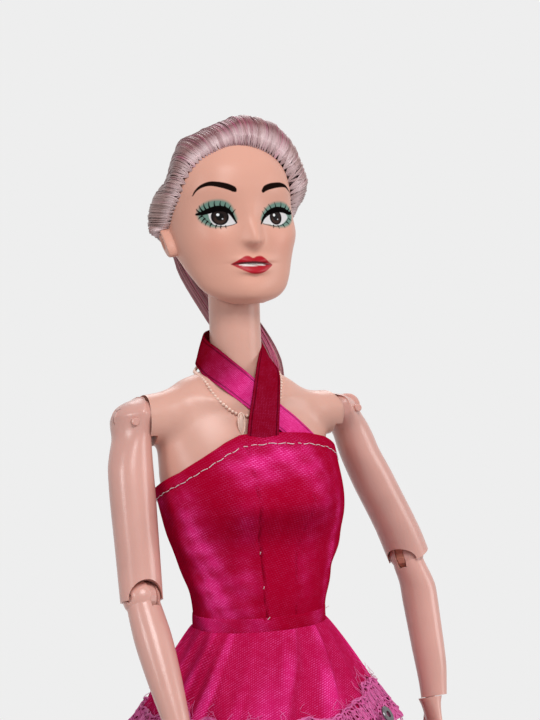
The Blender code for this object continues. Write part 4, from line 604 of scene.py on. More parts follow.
def open_knee(made, bottom, sizes, along, other):
    """Hollows a thigh's end for the shin's round cheeks, open to the back."""
    big = sizes["radius"] * 2
    rim = bottom - along * (sizes["knuckle"] * 0.72)
    cut(made, turned("tool", ((0, big), (big * 1.5, big)), rim, unit(along - other * 0.5)))
    cut(made, ball("tool", bottom, sizes["knuckle"] + 0.42))


def open_elbow(made, bottom, sizes, along, lean, side):
    """Hollows an upper arm's end for the forearm's cheeks, with an arch where the forearm leans."""
    facing = unit(lean - along * np.dot(lean, along))
    if side < 0:
        facing = unit(facing + np.array((-0.42, 0.0, 0.0)))
    big = sizes["radius"] * 2
    cut(made, turned("tool", ((0, big), (big, big)), bottom + along * 0.6, along))
    cut(made, ball("tool", bottom, sizes["knuckle"] + 0.10))
    cut(made, turned("tool", ((0, 3.70), (9, 4.0)), bottom + along * 0.3, facing))


def upper_limb(name, top, bottom, hinge, side, sizes, stations, lift, slope=None, lean=None):
    """A thigh or an upper arm: ball, shaft, hollow end, peg's bore and the slot for its tongue."""
    axis = unit(bottom - top)
    length = np.linalg.norm(bottom - top)
    radius = sizes["radius"]
    rows = [(-radius * math.sin(turn), radius * math.cos(turn), radius * math.cos(turn), 0)
            for turn in np.radians((88, 80, 70, 60, 50, 40, 30, 20, 10, 0))]
    rows += [(length * share, wide, deep, 0) for share, wide, deep in stations]
    rings = limb_rings(top, axis, hinge, rows, 72, 110)
    if slope:
        rings = leaned(rings, top, bottom, side, slope)
    made = solid(name, rings, ARM_SKIN if slope else SKIN)
    _, other, along = frame_of(axis, hinge)
    if lean is None:
        open_knee(made, bottom, sizes, along, other)
    else:
        open_elbow(made, bottom, sizes, along, lean, side)
    peg_radius, peg_length = sizes["peg"]
    bore(made, peg_radius + CLEAR, 0, sizes["knuckle"] + peg_length + CLEAR, bottom, -axis, 24)
    slot = sizes["thick"] / 2 + (CLEAR if lean is None else 0.08)
    bore(made, sizes["tongue"] + (CLEAR if lean is None else ARM_CLEAR), -slot, slot, top, Y_AXIS, 96)
    low, high = (lift[0] - 2, lift[1] + 2) if side > 0 else (-lift[1] - 2, -lift[0] + 2)
    outline = swept_outline(sizes["neck"] + CLEAR, radius * 1.3, low, high)
    wide, tall, _ = frame_of(Y_AXIS, -X_AXIS * side)
    rings = [top + Y_AXIS * level + np.outer(outline[:, 0], wide) + np.outer(outline[:, 1], tall)
             for level in (-slot, slot)]
    cut(made, solid("tool", rings))
    return made


def knuckle_end(made, top, hinge, knuckle, half, disc, pin, gap=CLEAR):
    """Adds the round cheeks at a limb's top, and cuts the slot for the disc and the pin's bore."""
    turns = np.linspace(0, math.pi, 15)[1:-1]
    flat = math.sqrt(max(knuckle**2 - half**2, 0))
    places = -half * np.cos(turns)
    profile = [(-half, flat), *[(p, math.sqrt(knuckle**2 - p**2)) for p in places], (half, flat)]
    join(made, turned("tool", profile, top, hinge, sides=64))
    slot = disc / 2 + gap
    bore(made, knuckle + 0.66, -slot, slot, top, hinge, 67)
    bore(made, pin + gap, -half - 2, half + 2, top, hinge, 32)


UPPER_ARM = {"radius": 6.8, "knuckle": 4.13, "peg": (1.4, 8.0), "tongue": 3.2, "thick": 2.4, "neck": 1.2}
THIGH = {"radius": 9.8, "knuckle": 6.34, "peg": (2.0, 11.0), "tongue": 4.8, "thick": 5.0, "neck": 2.5}
ARM_LIFT = {"left": (-14, 20), "right": (-1, 34)}
THIGH_LIFT = (-2, 30)
THIGH_STATIONS = ((0.08, 9.9, 10.0), (0.22, 9.5, 10.2), (0.45, 8.75, 9.1), (0.70, 7.45, 7.8),
                  (0.98, 6.73, 6.86))
ARM_STATIONS = {
    "right": ((0.10, 5.35, 5.35), (0.17, 5.05, 5.05), (0.42, 5.0, 5.0), (0.68, 4.85, 4.85),
              (0.92, 4.7, 4.7), (1.04, 4.6, 4.6)),
    "left": ((0.10, 5.35, 5.35), (0.17, 5.05, 5.05), (0.42, 5.0, 5.0), (0.68, 5.0, 5.0), (0.92, 5.0, 5.0),
             (1.04, 4.95, 4.95))}
SLOPES = {
    "right": ((-30, 0), (-11, 0), (-6.7, 0.8), (-3.3, 2.1), (0, 3.4), (2, 3.9), (3.5, 4.6), (5.3, 6.0),
              (7, 7.0)),
    "left": ((-30, 0), (-24, 0.3), (-16, 1.0), (-10, 1.9), (-6.4, 2.0), (-3, 2.6), (0.4, 4.5), (3.8, 6.8),
             (7, 9.5))}
FOREARM_ROWS = {
    "right": ((-0.45, 3.48, 3.43, 0), (4.1, 3.9, 3.72, 0), (9.5, 4.1, 3.95, 0), (17, 3.8, 3.62, 0),
              (25.5, 3.08, 2.98, 0), (31.6, 2.45, 2.42, 0), (33.87, 2.4, 2.4, 0)),
    "left": ((-0.45, 3.5, 3.45, 0), (4.1, 4.05, 3.8, 0), (9.5, 4.25, 3.98, 0), (17, 4.05, 3.85, 0),
             (25.5, 3.75, 3.5, 0), (31.6, 3.2, 3.0, 0), (33.87, 3.05, 2.8, 0))}


def side_name(side):
    return "left" if side > 0 else "right"


def make_arm(side):
    """Upper arm, forearm and hand of one side, -1 for the right and 1 for the left."""
    tag = side_name(side)
    shoulder, _ = joint(f"shoulder_lift_{tag}")
    elbow, hinge = joint(f"elbow_bend_{tag}")
    wrist, fore = joint(f"wrist_turn_{tag}")
    upper = upper_limb(f"upper_arm_skin_{tag}", shoulder, elbow, hinge, side, UPPER_ARM, ARM_STATIONS[tag],
                       ARM_LIFT[tag], SLOPES[tag], fore)
    stand_in(upper, f"upper_arm_body_{tag}", f"upper_arm_{tag}")
    rings = np.array(limb_rings(elbow, fore, hinge, FOREARM_ROWS[tag], 64, 60))
    if side > 0:
        down = (elbow[2] - rings[..., 2]) / (elbow[2] - wrist[2])
        rings[..., 0] += 1.7 * smoothstep(down / 0.25) * smoothstep((1.35 - down) / 0.6)
    forearm = solid(f"forearm_skin_{tag}", rings, ARM_SKIN)
    knuckle_end(forearm, elbow, hinge, UPPER_ARM["knuckle"], 3.87, 2.2, 0.9, ARM_CLEAR)
    bore(forearm, 1.4, -4.3, 2, wrist, fore, 24)
    stand_in(forearm, f"forearm_body_{tag}", f"forearm_{tag}")
    make_hand(tag, side, wrist, fore)


FINGERS = ((-0.66, 0.80, -0.10), (-0.22, 1.0, -0.03), (0.22, 0.96, 0.04), (0.64, 0.76, 0.12))


def make_hand(tag, side, wrist, fore):
    """A slim hand with four fingers and a thumb, on its wrist peg."""
    across = unit(np.cross(fore, X_AXIS * side))
    wide, _, along = frame_of(fore, across)
    wrist_wide = 2.95 if side > 0 else 2.4
    rows = ((0, wrist_wide, wrist_wide - 0.2, 0), (1.7, wrist_wide - 0.1, 2.1, 0), (4.4, 2.95, 1.6, 0),
            (7.6, 3.25, 1.35, 0), (9.2, 3.1, 1.15, 0))
    hand = solid(f"hand_skin_{tag}", limb_rings(wrist, fore, across, rows, 48, 30), ARM_SKIN)
    for beside, length, lean in FINGERS:
        start = wrist + along * 7.2 + wide * (3.24 * beside)
        reach = 9.25 * length + 1.85
        profile = [(t * reach, 0.80 - 0.20 * t + 0.06 * math.cos(t * 3 * 2 * math.pi))
                   for t in np.linspace(0, 0.9, 16)]
        profile += [(reach * 0.95, 0.46), (reach, 0.2)]
        join(hand, turned("tool", profile, start, unit(along + wide * lean), sides=20))
    start = wrist + along * 2.8 - across * 1.8
    profile = [(t * 7.4, 0.98 - 0.22 * t) for t in np.linspace(0, 0.88, 8)] + [(7.1, 0.55), (7.4, 0.25)]
    join(hand, turned("tool", profile, start, unit(along * 0.84 - across * 0.55), sides=20))
    join(hand, turned("tool", ((-4.0, 1.1), (2.4, 1.1)), wrist, fore, sides=24))
    stand_in(hand, f"hand_body_{tag}", f"hand_{tag}")


FOOT = ((1.24, 0.00, 0.80, 0.80), (1.02, 0.00, 0.86, 1.00), (0.84, 0.08, 0.92, 1.06),
        (0.68, 0.24, 0.96, 0.86), (0.50, 0.42, 0.98, 0.66), (0.34, 0.58, 1.06, 0.52),
        (0.25, 0.74, 1.08, 0.42), (0.20, 0.88, 0.86, 0.32), (0.18, 0.95, 0.44, 0.20))
ANKLE_Z = 18
FOOT_LENGTH = 19.11
FOOT_THICK = 4.0
SHIN_ROWS = ((-0.7, 5.35, 5.26, 0), (6.5, 5.76, 5.8, 0), (19.5, 6.4, 6.8, -0.9), (32.5, 5.65, 6.0, -0.65),
             (50.7, 3.85, 3.95, 0))


def foot_rings(knee, count=40):
    """Rings from the ankle to the toes, through the stations of FOOT (height, forward, wide, deep)."""
    height, forward, wide, deep = np.array(FOOT).T
    stations = np.column_stack([np.full(len(FOOT), knee[0]), knee[1] - FOOT_LENGTH * forward,
                                ANKLE_Z * height, wide * FOOT_THICK, deep * FOOT_THICK])
    path = smooth_path(stations, np.linspace(0, len(FOOT) - 1, count))
    points = path[:, :3]
    rings = []
    for k, (middle, (wide, deep)) in enumerate(zip(points, path[:, 3:])):
        ahead = points[min(k + 1, count - 1)] - points[max(k - 1, 0)]
        across, other, _ = frame_of(ahead, X_AXIS)
        rings.append(oval(middle, wide, deep, across, other, 64))
    return rings


def make_leg(side):
    """Thigh and shin with foot of one side, -1 for the right and 1 for the left."""
    tag = side_name(side)
    hip, _ = joint(f"hip_spread_{tag}")
    knee, _ = joint(f"knee_bend_{tag}")
    thigh = upper_limb(f"thigh_skin_{tag}", hip, knee, X_AXIS, side, THIGH, THIGH_STATIONS, THIGH_LIFT)
    stand_in(thigh, f"thigh_body_{tag}", f"thigh_{tag}")
    rings = limb_rings(knee, -Z_AXIS, X_AXIS, SHIN_ROWS, 64, 50) + foot_rings(knee)
    shin = solid(f"shin_skin_{tag}", rings, SKIN)
    knuckle_end(shin, knee, X_AXIS, THIGH["knuckle"], 5.94, 3.4, 1.3)
    stand_in(shin, f"shin_body_{tag}", f"shin_{tag}")


# The head

CHIN_Z = 254.0
HEAD = np.array((
    (0.0, 3.6, 8.4, -5.2), (1.1, 7.1, 10.1, -2.2), (3.0, 9.7, 10.9, 0.9), (5.7, 11.3, 11.1, 4.3),
    (9.1, 12.5, 10.9, 8.6), (13.3, 13.6, 10.7, 13.2), (17.9, 14.1, 10.4, 16.0), (21.7, 14.2, 10.4, 16.8),
    (26.2, 13.9, 10.4, 16.6), (30.4, 12.6, 9.4, 15.0), (34.2, 9.7, 6.7, 11.8), (36.5, 6.4, 3.7, 8.2),
    (38.0, 0.7, -1.7, 2.7),
))
HEAD_SIDE = 0.5
HEAD_MIDDLE = np.array((0, 8.54, 273.0))
LEVELS = np.linspace(0, 38, 800)
HEAD_WIDE, HEAD_FRONT, HEAD_BACK = (smooth(HEAD, LEVELS, k) for k in (1, 2, 3))


def inside_head(points):
    """Under 1 inside the plain head, over 1 outside it."""
    level = points[..., 2] - CHIN_Z
    wide = np.interp(level, LEVELS, HEAD_WIDE)
    front = np.interp(level, LEVELS, HEAD_FRONT)
    back = np.interp(level, LEVELS, HEAD_BACK)
    y = points[..., 1] - NECK_Y
    x = points[..., 0] - HEAD_SIDE
    power = 2.0 + 0.35 * smoothstep((level - 3) / 9)
    value = (np.abs(x) / wide) ** power + (np.abs(y - (back - front) / 2) / ((back + front) / 2)) ** power
    return np.where((level <= 0) | (level >= 38), 2, value)


def relief(p):
    """How far the features stand out of the plain head."""
    x, y, z = p[..., 0] - 0.3, p[..., 1] - NECK_Y, p[..., 2]
    side = np.abs(x)
    nose_z, mouth_z, eye_z = 268.8, 262.7, 273.4
    rim = ((y - 4.5 - 0.62 * (z - 268.8)) / 2.2) ** 2 + ((z - 268.8) / 3.4) ** 2
    cup = ((y - 4.9 - 0.58 * (z - 269.3)) / 1.1) ** 2 + ((z - 269.3) / 1.9) ** 2
    ears = 1.9 * smoothstep((1.25 - rim) / 0.55) - 0.9 * smoothstep((1.1 - cup) / 0.6)
    ears = ears * np.where(side > 9, 1, 0)
    above = z - nose_z
    bridge = np.where(above > 0, 0.40 * bell(above, 8) + 0.60 * bell(above, 2.6), bell(above, 2.1))
    face = 2.75 * bridge * bell(x, 1.75 + 0.06 * np.clip(above, 0, 8))
    face += 0.45 * bell(side - 1.8, 1.1) * bell(above + 0.6, 1.3)
    face += 0.9 * bell(x - 12, 4.0) * bell(z - 270, 3.5)
    face += 0.95 * bell(x, 3.6) * bell(z - mouth_z - 0.95, 0.8)
    face += 1.1 * bell(x, 3.0) * bell(z - mouth_z + 1.2, 0.9)
    face -= 0.35 * bell(x, 4.0) * bell(z - mouth_z, 0.3)
    face -= 0.35 * bell(x, 3.0) * bell(z - mouth_z + 3.0, 0.8)
    face += 0.9 * bell(x, 4.0) * bell(z - CHIN_Z - 2.9, 2.4)
    face += 0.5 * bell(side - 7.4, 3.4) * bell(above + 0.5, 3.6)
    face -= 0.75 * bell(side - 6.6, 3.3) * bell(z - eye_z, 2.6)
    face += 0.35 * bell(side - 6.9, 2.9) * bell(z - eye_z + 0.1, 1.6)
    face += 0.25 * bell(side - 7.2, 4.2) * bell(z - 279.4, 2.0)
    return ears + np.where(y < 0, face, 0)


def head_point(directions, grow=0.0, plain=False):
    """Points on the head's skin in directions from its middle, moved out by grow."""
    directions = np.asarray(directions, dtype=float)
    low = np.zeros(directions.shape[:-1])
    high = low + 38
    for _ in range(22):
        reach = (low + high) / 2
        within = inside_head(HEAD_MIDDLE + directions * reach[..., None]) < 1
        low, high = np.where(within, reach, low), np.where(within, high, reach)
    surface = HEAD_MIDDLE + directions * low[..., None]
    extra = grow + (0 if plain else relief(surface))
    return HEAD_MIDDLE + directions * (low + extra)[..., None]


def to_segment(x, z, start, end):
    """The nearest share of a straight piece to each place, and the distance to it."""
    (ax, az), (bx, bz) = start, end
    t = np.clip(((x - ax) * (bx - ax) + (z - az) * (bz - az)) / ((bx - ax) ** 2 + (bz - az) ** 2), 0, 1)
    return t, np.hypot(x - ax - t * (bx - ax), z - az - t * (bz - az))


def blob(x, z, points, soft=0.06):
    """How much of each place lies inside a closed outline, with a soft edge."""
    points = np.asarray(points, dtype=float)[:-1]
    ahead = np.roll(points, -1, 0)
    inside = np.zeros(x.shape, bool)
    distance = np.full(x.shape, 99.0)
    for start, end in zip(points, ahead):
        (ax, az), (bx, bz) = start, end
        inside ^= ((az > z) != (bz > z)) & (x < (bx - ax) * (z - az) / (bz - az + 1e-12) + ax)
        distance = np.minimum(distance, to_segment(x, z, start, end)[1])
    return np.clip(0.5 + np.where(inside, distance, -distance) / (2 * soft), 0, 1)


def stroke(x, z, points, widths, soft=0.05):
    """A painted line of changing width."""
    points = np.asarray(points, dtype=float)
    cover = np.zeros(x.shape)
    for start, end, first, last in zip(points, points[1:], widths, widths[1:]):
        t, distance = to_segment(x, z, start, end)
        width = first + (last - first) * t
        cover = np.maximum(cover, np.clip(0.5 + (width / 2 - distance) / (2 * soft), 0, 1))
    return cover


def curve_points(points, steps=10):
    """More points along a smooth line through the given ones."""
    return smooth_path(points, np.linspace(0, len(points) - 1, (len(points) - 1) * steps + 1))


EYES = (
    {"teal": ((-10.86, 273.9), (-10.5, 275.34), (-9.52, 276.34), (-8.07, 276.88), (-6.25, 276.89),
              (-4.78, 276.34), (-3.84, 275.25), (-3.21, 273.69), (-2.93, 272.37), (-3.66, 271.94),
              (-5.0, 271.2), (-6.7, 270.85), (-8.27, 270.9), (-9.6, 271.6), (-10.45, 272.6)),
     "white": ((-8.84, 273.89), (-8.38, 274.55), (-7.45, 274.94), (-5.57, 274.89), (-4.38, 273.96),
               (-3.58, 272.82), (-3.0, 271.68), (-4.37, 271.28), (-6.29, 271.07), (-7.79, 271.38),
               (-8.54, 272.56)),
     "iris": (-6.5, 273.15), "wide": 1.85,
     "band": ((-10.86, 274.04, 0.35), (-9.93, 274.2, 0.62), (-8.63, 274.68, 0.88), (-7.04, 275.1, 0.96),
              (-5.37, 274.9, 0.84), (-4.18, 273.96, 0.56), (-3.1, 271.9, 0.24)),
     "up": ((-10.28, 274.21), (-10.9, 275.13), (-9.84, 274.54), (-10.4, 275.82), (-9.18, 274.83),
            (-9.66, 276.3), (-8.44, 275.06), (-8.68, 276.6), (-7.42, 275.36), (-7.59, 276.7),
            (-6.33, 275.41), (-6.37, 276.6), (-5.38, 275.22), (-5.24, 276.3), (-4.54, 274.64),
            (-4.16, 275.6), (-3.87, 273.72), (-3.21, 274.73)),
     "low": ((-10.0, 273.5), (-10.6, 272.84), (-9.5, 272.9), (-10.1, 272.0), (-9.0, 272.3), (-9.5, 271.4),
             (-8.3, 271.75), (-8.7, 270.85), (-7.4, 271.3), (-7.6, 270.55), (-6.5, 271.1), (-6.57, 270.45),
             (-5.5, 271.1), (-5.4, 270.6)),
     "rim": ((-10.0, 273.7), (-9.0, 272.2), (-7.8, 271.35), (-6.2, 271.0), (-4.4, 271.2), (-3.2, 271.6)),
     "brow": ((-11.43, 278.06, 0.09), (-10.85, 279.2, 0.26), (-9.79, 280.1, 0.53), (-8.34, 280.5, 0.79),
              (-6.66, 280.25, 0.97), (-5.0, 279.8, 1.05), (-3.63, 279.2, 1.0), (-3.2, 278.8, 0.44))},
    {"teal": ((2.49, 272.39), (3.23, 273.86), (4.5, 275.3), (6.18, 276.14), (8.27, 276.44), (10.3, 276.1),
              (11.9, 275.04), (12.6, 273.89), (12.0, 272.33), (10.22, 271.0), (7.8, 270.65), (5.87, 270.9),
              (4.5, 271.35), (3.25, 271.52)),
     "white": ((3.1, 271.51), (3.97, 272.97), (5.33, 273.99), (7.69, 274.36), (9.53, 273.98),
               (10.49, 273.1), (9.45, 272.0), (7.9, 271.2), (6.14, 271.1), (4.82, 271.4)),
     "iris": (6.9, 272.95), "wide": 1.68,
     "band": ((2.6, 271.56, 0.24), (3.6, 272.97, 0.5), (5.06, 274.11, 0.78), (7.08, 274.78, 0.92),
              (9.25, 274.7, 0.9), (11.1, 274.14, 0.7), (12.6, 274.2, 0.3)),
     "up": ((3.81, 273.18), (3.12, 274.31), (4.74, 274.1), (3.7, 275.09), (5.81, 274.69), (4.9, 275.85),
            (7.1, 275.0), (6.6, 276.3), (8.5, 275.1), (8.6, 276.4), (9.75, 274.87), (10.5, 276.0),
            (10.8, 274.5), (11.9, 275.5), (11.7, 274.2), (12.8, 274.9)),
     "low": ((11.0, 272.7), (11.9, 272.2), (9.99, 271.95), (10.8, 271.3), (8.68, 271.3), (9.19, 270.55),
             (7.25, 271.03), (7.46, 270.35), (6.04, 271.12), (5.85, 270.5)),
     "rim": ((11.3, 273.4), (10.4, 272.4), (9.3, 271.6), (7.7, 271.05), (6.0, 270.95), (4.5, 271.2),
             (3.2, 271.5)),
     "brow": ((3.5, 278.75, 0.62), (4.24, 279.4, 1.0), (5.84, 279.9, 1.05), (8.3, 280.2, 0.88),
              (10.2, 280.0, 0.53), (11.54, 279.2, 0.26), (12.9, 278.5, 0.09))})
LIPS = ((-4.95, 262.6), (-3.88, 263.17), (-2.75, 263.81), (-1.74, 264.31), (-0.83, 264.36), (0.1, 263.9),
        (1.07, 264.25), (2.2, 264.29), (3.25, 263.66), (4.04, 262.98), (5.05, 262.35), (4.24, 261.6),
        (3.05, 260.85), (1.4, 260.35), (-0.33, 260.4), (-1.81, 260.95), (-3.04, 261.6), (-4.09, 262.15))
TEETH = ((-3.2, 262.42), (-2.0, 262.62), (-0.33, 262.70), (1.61, 262.62), (3.3, 262.30), (2.18, 262.2),
         (-0.32, 262.12), (-2.1, 262.2))


def closed(points):
    """A smooth closed outline through points, its last one the first again."""
    return curve_points((*points, points[0]), 6)


def tapered(rows):
    """A smooth line through (x, z, width) rows, and its width at each point."""
    rows = np.array(rows)
    line = curve_points(rows[:, :2], 8)
    return line, np.interp(np.linspace(0, 1, len(line)), np.linspace(0, 1, len(rows)), rows[:, 2])


def paint_face(points):
    """Colours and gloss of the painted face, at points of the head, with painted shade at the nostrils and a
    painted highlight on the lower lip.
    """
    x, y, z = points[:, 0], points[:, 1], points[:, 2]
    colour = np.tile(np.array((0.71, 0.362, 0.275)), (len(x), 1))
    gloss = np.full(len(x), 0.33)
    front = y < NECK_Y + 2

    def lay(cover, tint, shine=None):
        nonlocal colour, gloss
        cover = np.where(front, cover, 0)
        colour = colour * (1 - cover[:, None]) + np.array(tint) * cover[:, None]
        if shine is not None:
            gloss = gloss * (1 - cover) + shine * cover

    for side in (-1, 1):
        lay(0.30 * bell(x * side - 8.2, 3.2) * bell(z - 267.2, 2.8), (0.76, 0.29, 0.21))
    ink = (0.004, 0.003, 0.003)
    for eye in EYES:
        lay(blob(x, z, closed(eye["teal"]), 0.32) * 0.90, (0.10, 0.26, 0.215), 0.1)
        inside = blob(x, z, closed(eye["white"]))
        lay(inside, (0.70, 0.66, 0.66), 0.1)
        (cx, cz), wide = eye["iris"], eye["wide"]

        def disc(radius, right=0.0, up=0.0, soft=0.12, flat=1.0):
            away = np.hypot(x - cx - right, (z - cz - up) * flat)
            return inside * np.clip(0.5 + (radius - away) / soft, 0, 1)

        lay(disc(wide), (0.004, 0.003, 0.004), 0.0)
        lay(disc(wide * 0.84), (0.020, 0.013, 0.012), 0.05)
        lay(disc(wide * 0.62, up=-0.55, soft=0.4, flat=1.2) * 0.7, (0.050, 0.026, 0.019), 0.05)
        lay(disc(wide * 0.45), ink, 0.1)
        lay(disc(0.30, -0.42, 0.50, 0.1), (0.9, 0.9, 0.9), 0.1)
        lay(disc(0.15, 0.5, -0.45, 0.1), (0.6, 0.6, 0.62), 0.1)
        line, widths = tapered(eye["band"])
        line[:, 1] -= 0.12
        lay(stroke(x, z, line, widths * 1.4), ink, 0.0)
        out = np.sign(cx)
        for rows, thick in ((eye["up"], 0.40), (eye["low"], 0.34)):
            for start, end in zip(rows[::2], rows[1::2]):
                bend = ((start[0] + end[0]) / 2 + 0.10 * out, (start[1] + end[1]) / 2)
                lash = curve_points((start, bend, end), 5)
                lay(stroke(x, z, lash, np.linspace(thick, 0.10, len(lash))), ink, 0.0)
        rim = curve_points(eye["rim"], 8)
        lay(stroke(x, z, rim, np.full(len(rim), 0.17)) * 0.85, (0.02, 0.012, 0.012))
        line, widths = tapered(eye["brow"])
        lay(stroke(x, z, line, widths * 1.25 + 0.04, 0.06), (0.010, 0.005, 0.004), 0.0)
    # Nostrils as small warm dark patches: painted shade under the nose.
    for place in (-1.0, 1.6):
        lay(0.25 * bell(x - place, 0.45) * bell(z - 267.3, 0.28), (0.45, 0.19, 0.13))
    lay(blob(x, z, closed(LIPS), 0.08), (0.40, 0.002, 0.012), 0.36)
    dark = curve_points(((-4.7, 262.6), (-2.2, 262.75), (0.2, 262.7), (2.6, 262.6), (4.8, 262.4)))
    widths = np.interp(np.linspace(0, 1, len(dark)), (0, 0.5, 1), (0.15, 0.95, 0.15))
    lay(stroke(x, z, dark, widths), (0.10, 0.004, 0.008), 0.5)
    lay(blob(x, z, closed(TEETH)), (0.78, 0.70, 0.66), 0.7)
    # Painted highlight on the lower lip: a lighter red, with more gloss.
    shine = blob(x, z, closed(LIPS), 0.08) * bell(z - 261.2, 0.55) * bell(x - 0.2, 3.0)
    lay(shine * 0.6, (0.50, 0.012, 0.03), 0.5)
    return colour, gloss


def make_head():
    """The vinyl head with its painted face, hollow for the neck's knob."""
    near = np.radians(np.concatenate([np.linspace(-116, 116, 460), np.linspace(119, 241, 42)]))
    turns = near + FRONT
    rises = np.concatenate([np.linspace(-88, -62, 12), np.linspace(-60, 62, 330), np.linspace(64, 88, 12)])
    rises = np.radians(rises)
    rise, turn = np.meshgrid(rises, turns, indexing="ij")
    directions = np.stack([np.cos(rise) * np.cos(turn), np.cos(rise) * np.sin(turn), np.sin(rise)], -1)
    points = head_point(directions)
    rows, columns = points.shape[:2]
    flat = points.reshape(-1, 3)
    colour, gloss = paint_face(flat)
    faces = grid_faces(rows, columns).tolist()
    faces.append(list(range((rows - 1) * columns, rows * columns)))
    rgba = np.column_stack([colour, np.ones(len(colour))])
    made = object_from("head_skin", flat, faces, FACE, "head", attributes=(
        ("paint", "FLOAT_COLOR", rgba), ("gloss", "FLOAT", gloss)))
    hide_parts("head_shell")
    return made


# Hair

HAIRLINE = np.array(((0.0, 0.725), (0.16, 0.71), (0.30, 0.675), (0.45, 0.615), (0.55, 0.56), (0.64, 0.48),
                     (0.71, 0.385), (0.765, 0.285), (0.83, 0.20), (0.95, 0.075), (1.05, -0.03),
                     (1.24, -0.14), (1.5, -0.30), (1.78, -0.42), (2.0, -0.46)))
GATHER = unit((0, 1, 0.08))


def hairline(share):
    """Directions of the hairline from the head's middle, from 0 at the front to 2 at the nape."""
    rise = smooth(HAIRLINE, np.abs(share), 1) * math.pi / 2
    turn = np.asarray(share) * math.pi / 2
    return np.stack([np.cos(rise) * np.sin(turn), -np.cos(rise) * np.cos(turn), np.sin(rise)], -1)


def slerp(a, b, t):
    """Directions part of the way from a to b, at an even turn."""
    angle = np.arccos(np.clip((a * b).sum(-1), -1, 1))[..., None]
    return (a * np.sin(angle * (1 - t)) + b * np.sin(angle * t)) / np.sin(angle)


def strands(name, paths, radii, tints, sides=5):
    """Hair as many thin tubes in one mesh; paths are (count, points, 3)."""
    count, steps = paths.shape[:2]
    points, faces = tubes(paths, radii, sides)
    if tints.ndim == 2:
        tints = np.repeat(tints[:, None], steps, axis=1)
    rgba = np.concatenate([tints, np.ones((count, steps, 1))], -1)
    rgba = np.repeat(rgba.reshape(-1, 4), sides, axis=0)
    return object_from(name, points, faces, HAIR, "head", attributes=(("tint", "FLOAT_COLOR", rgba),))


def hair_tints(count, locks=None):
    """Lilac grey and rose brown with a few magenta strands; a lock shares most of its tint."""
    base = np.array(((0.25, 0.085, 0.10), (0.19, 0.058, 0.072), (0.32, 0.15, 0.15), (0.17, 0.05, 0.07),
                     (0.42, 0.03, 0.14)))
    chances = (0.40, 0.26, 0.23, 0.02, 0.09)
    tints = base[CHANCE.choice(5, count, p=chances)]
    if locks is not None:
        shared = base[CHANCE.choice(5, locks.max() + 1, p=chances)]
        tints = 0.45 * tints + 0.55 * shared[locks]
    return tints * CHANCE.uniform(0.82, 1.12, (count, 1))


FULLNESS = np.array(((-180, 0.3), (-150, -1.0), (-60, 0), (-20, 0.4), (0, 0.8), (10, 1.1), (20, 3.0),
                     (30, 3.1), (40, 3.1), (50, 3.9), (60, 4.2), (70, 3.4), (80, 2.8), (90, 0.6),
                     (100, -0.4), (110, -0.8), (120, -0.1), (130, -1.2), (140, -1.9), (150, -1.3),
                     (160, -0.1), (170, 0.1), (180, 0.2)))


def hair_grow(directions):
    """The hair stands fuller over the doll's left temple and flatter behind the right one."""
    x, y, z = directions[:, 0], directions[:, 1], directions[:, 2]
    full = 2.6 * smoothstep((x - 0.25) / 0.5) * bell(z - 0.30, 0.42) * bell(y + 0.15, 0.6)
    flat = -1.4 * smoothstep((-x - 0.1) / 0.5) * bell(z - 0.55, 0.3) * smoothstep((y + 0.2) / 0.4)
    across = 0.909 * x - 0.418 * y
    angle = np.degrees(np.arctan2(z, across))
    rim = np.interp(angle, FULLNESS[:, 0], FULLNESS[:, 1]) * np.clip(across**2 + z**2, 0, 1) ** 1.2
    return full + flat + rim


TIE_HOLE = 2.8 / 17
LOCKS = 240
PER_LOCK = 17


def make_hair_base():
    """The closed form under the strands, from behind the hairline to the tie."""
    turns = np.linspace(-2, 2, 193)[:-1]
    starts = hairline(turns)
    shares = np.linspace(0, 1, 40)
    whole = np.arccos(np.clip(starts @ GATHER, -1, 1))
    rings_out, rings_in = [], []
    for share in shares:
        t = ((0.10 + 0.90 * share) * (1 - TIE_HOLE / whole))[:, None]
        directions = slerp(starts, np.broadcast_to(GATHER, starts.shape), t)
        swell = math.sin(math.pi / 2 * min(share * 2.6, 1)) ** 0.8
        rings_out.append(head_point(directions, 0.42 + (2.0 + 0.8 * hair_grow(directions)) * swell))
        rings_in.append(head_point(directions, 0.2))
    verts, faces = shell(rings_out, rings_in)
    tint = np.tile((0.26, 0.12, 0.13, 1.0), (len(verts), 1))
    cap = object_from("hair_base", verts, faces, HAIR, "head", attributes=(("tint", "FLOAT_COLOR", tint),))
    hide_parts("hair_cap")


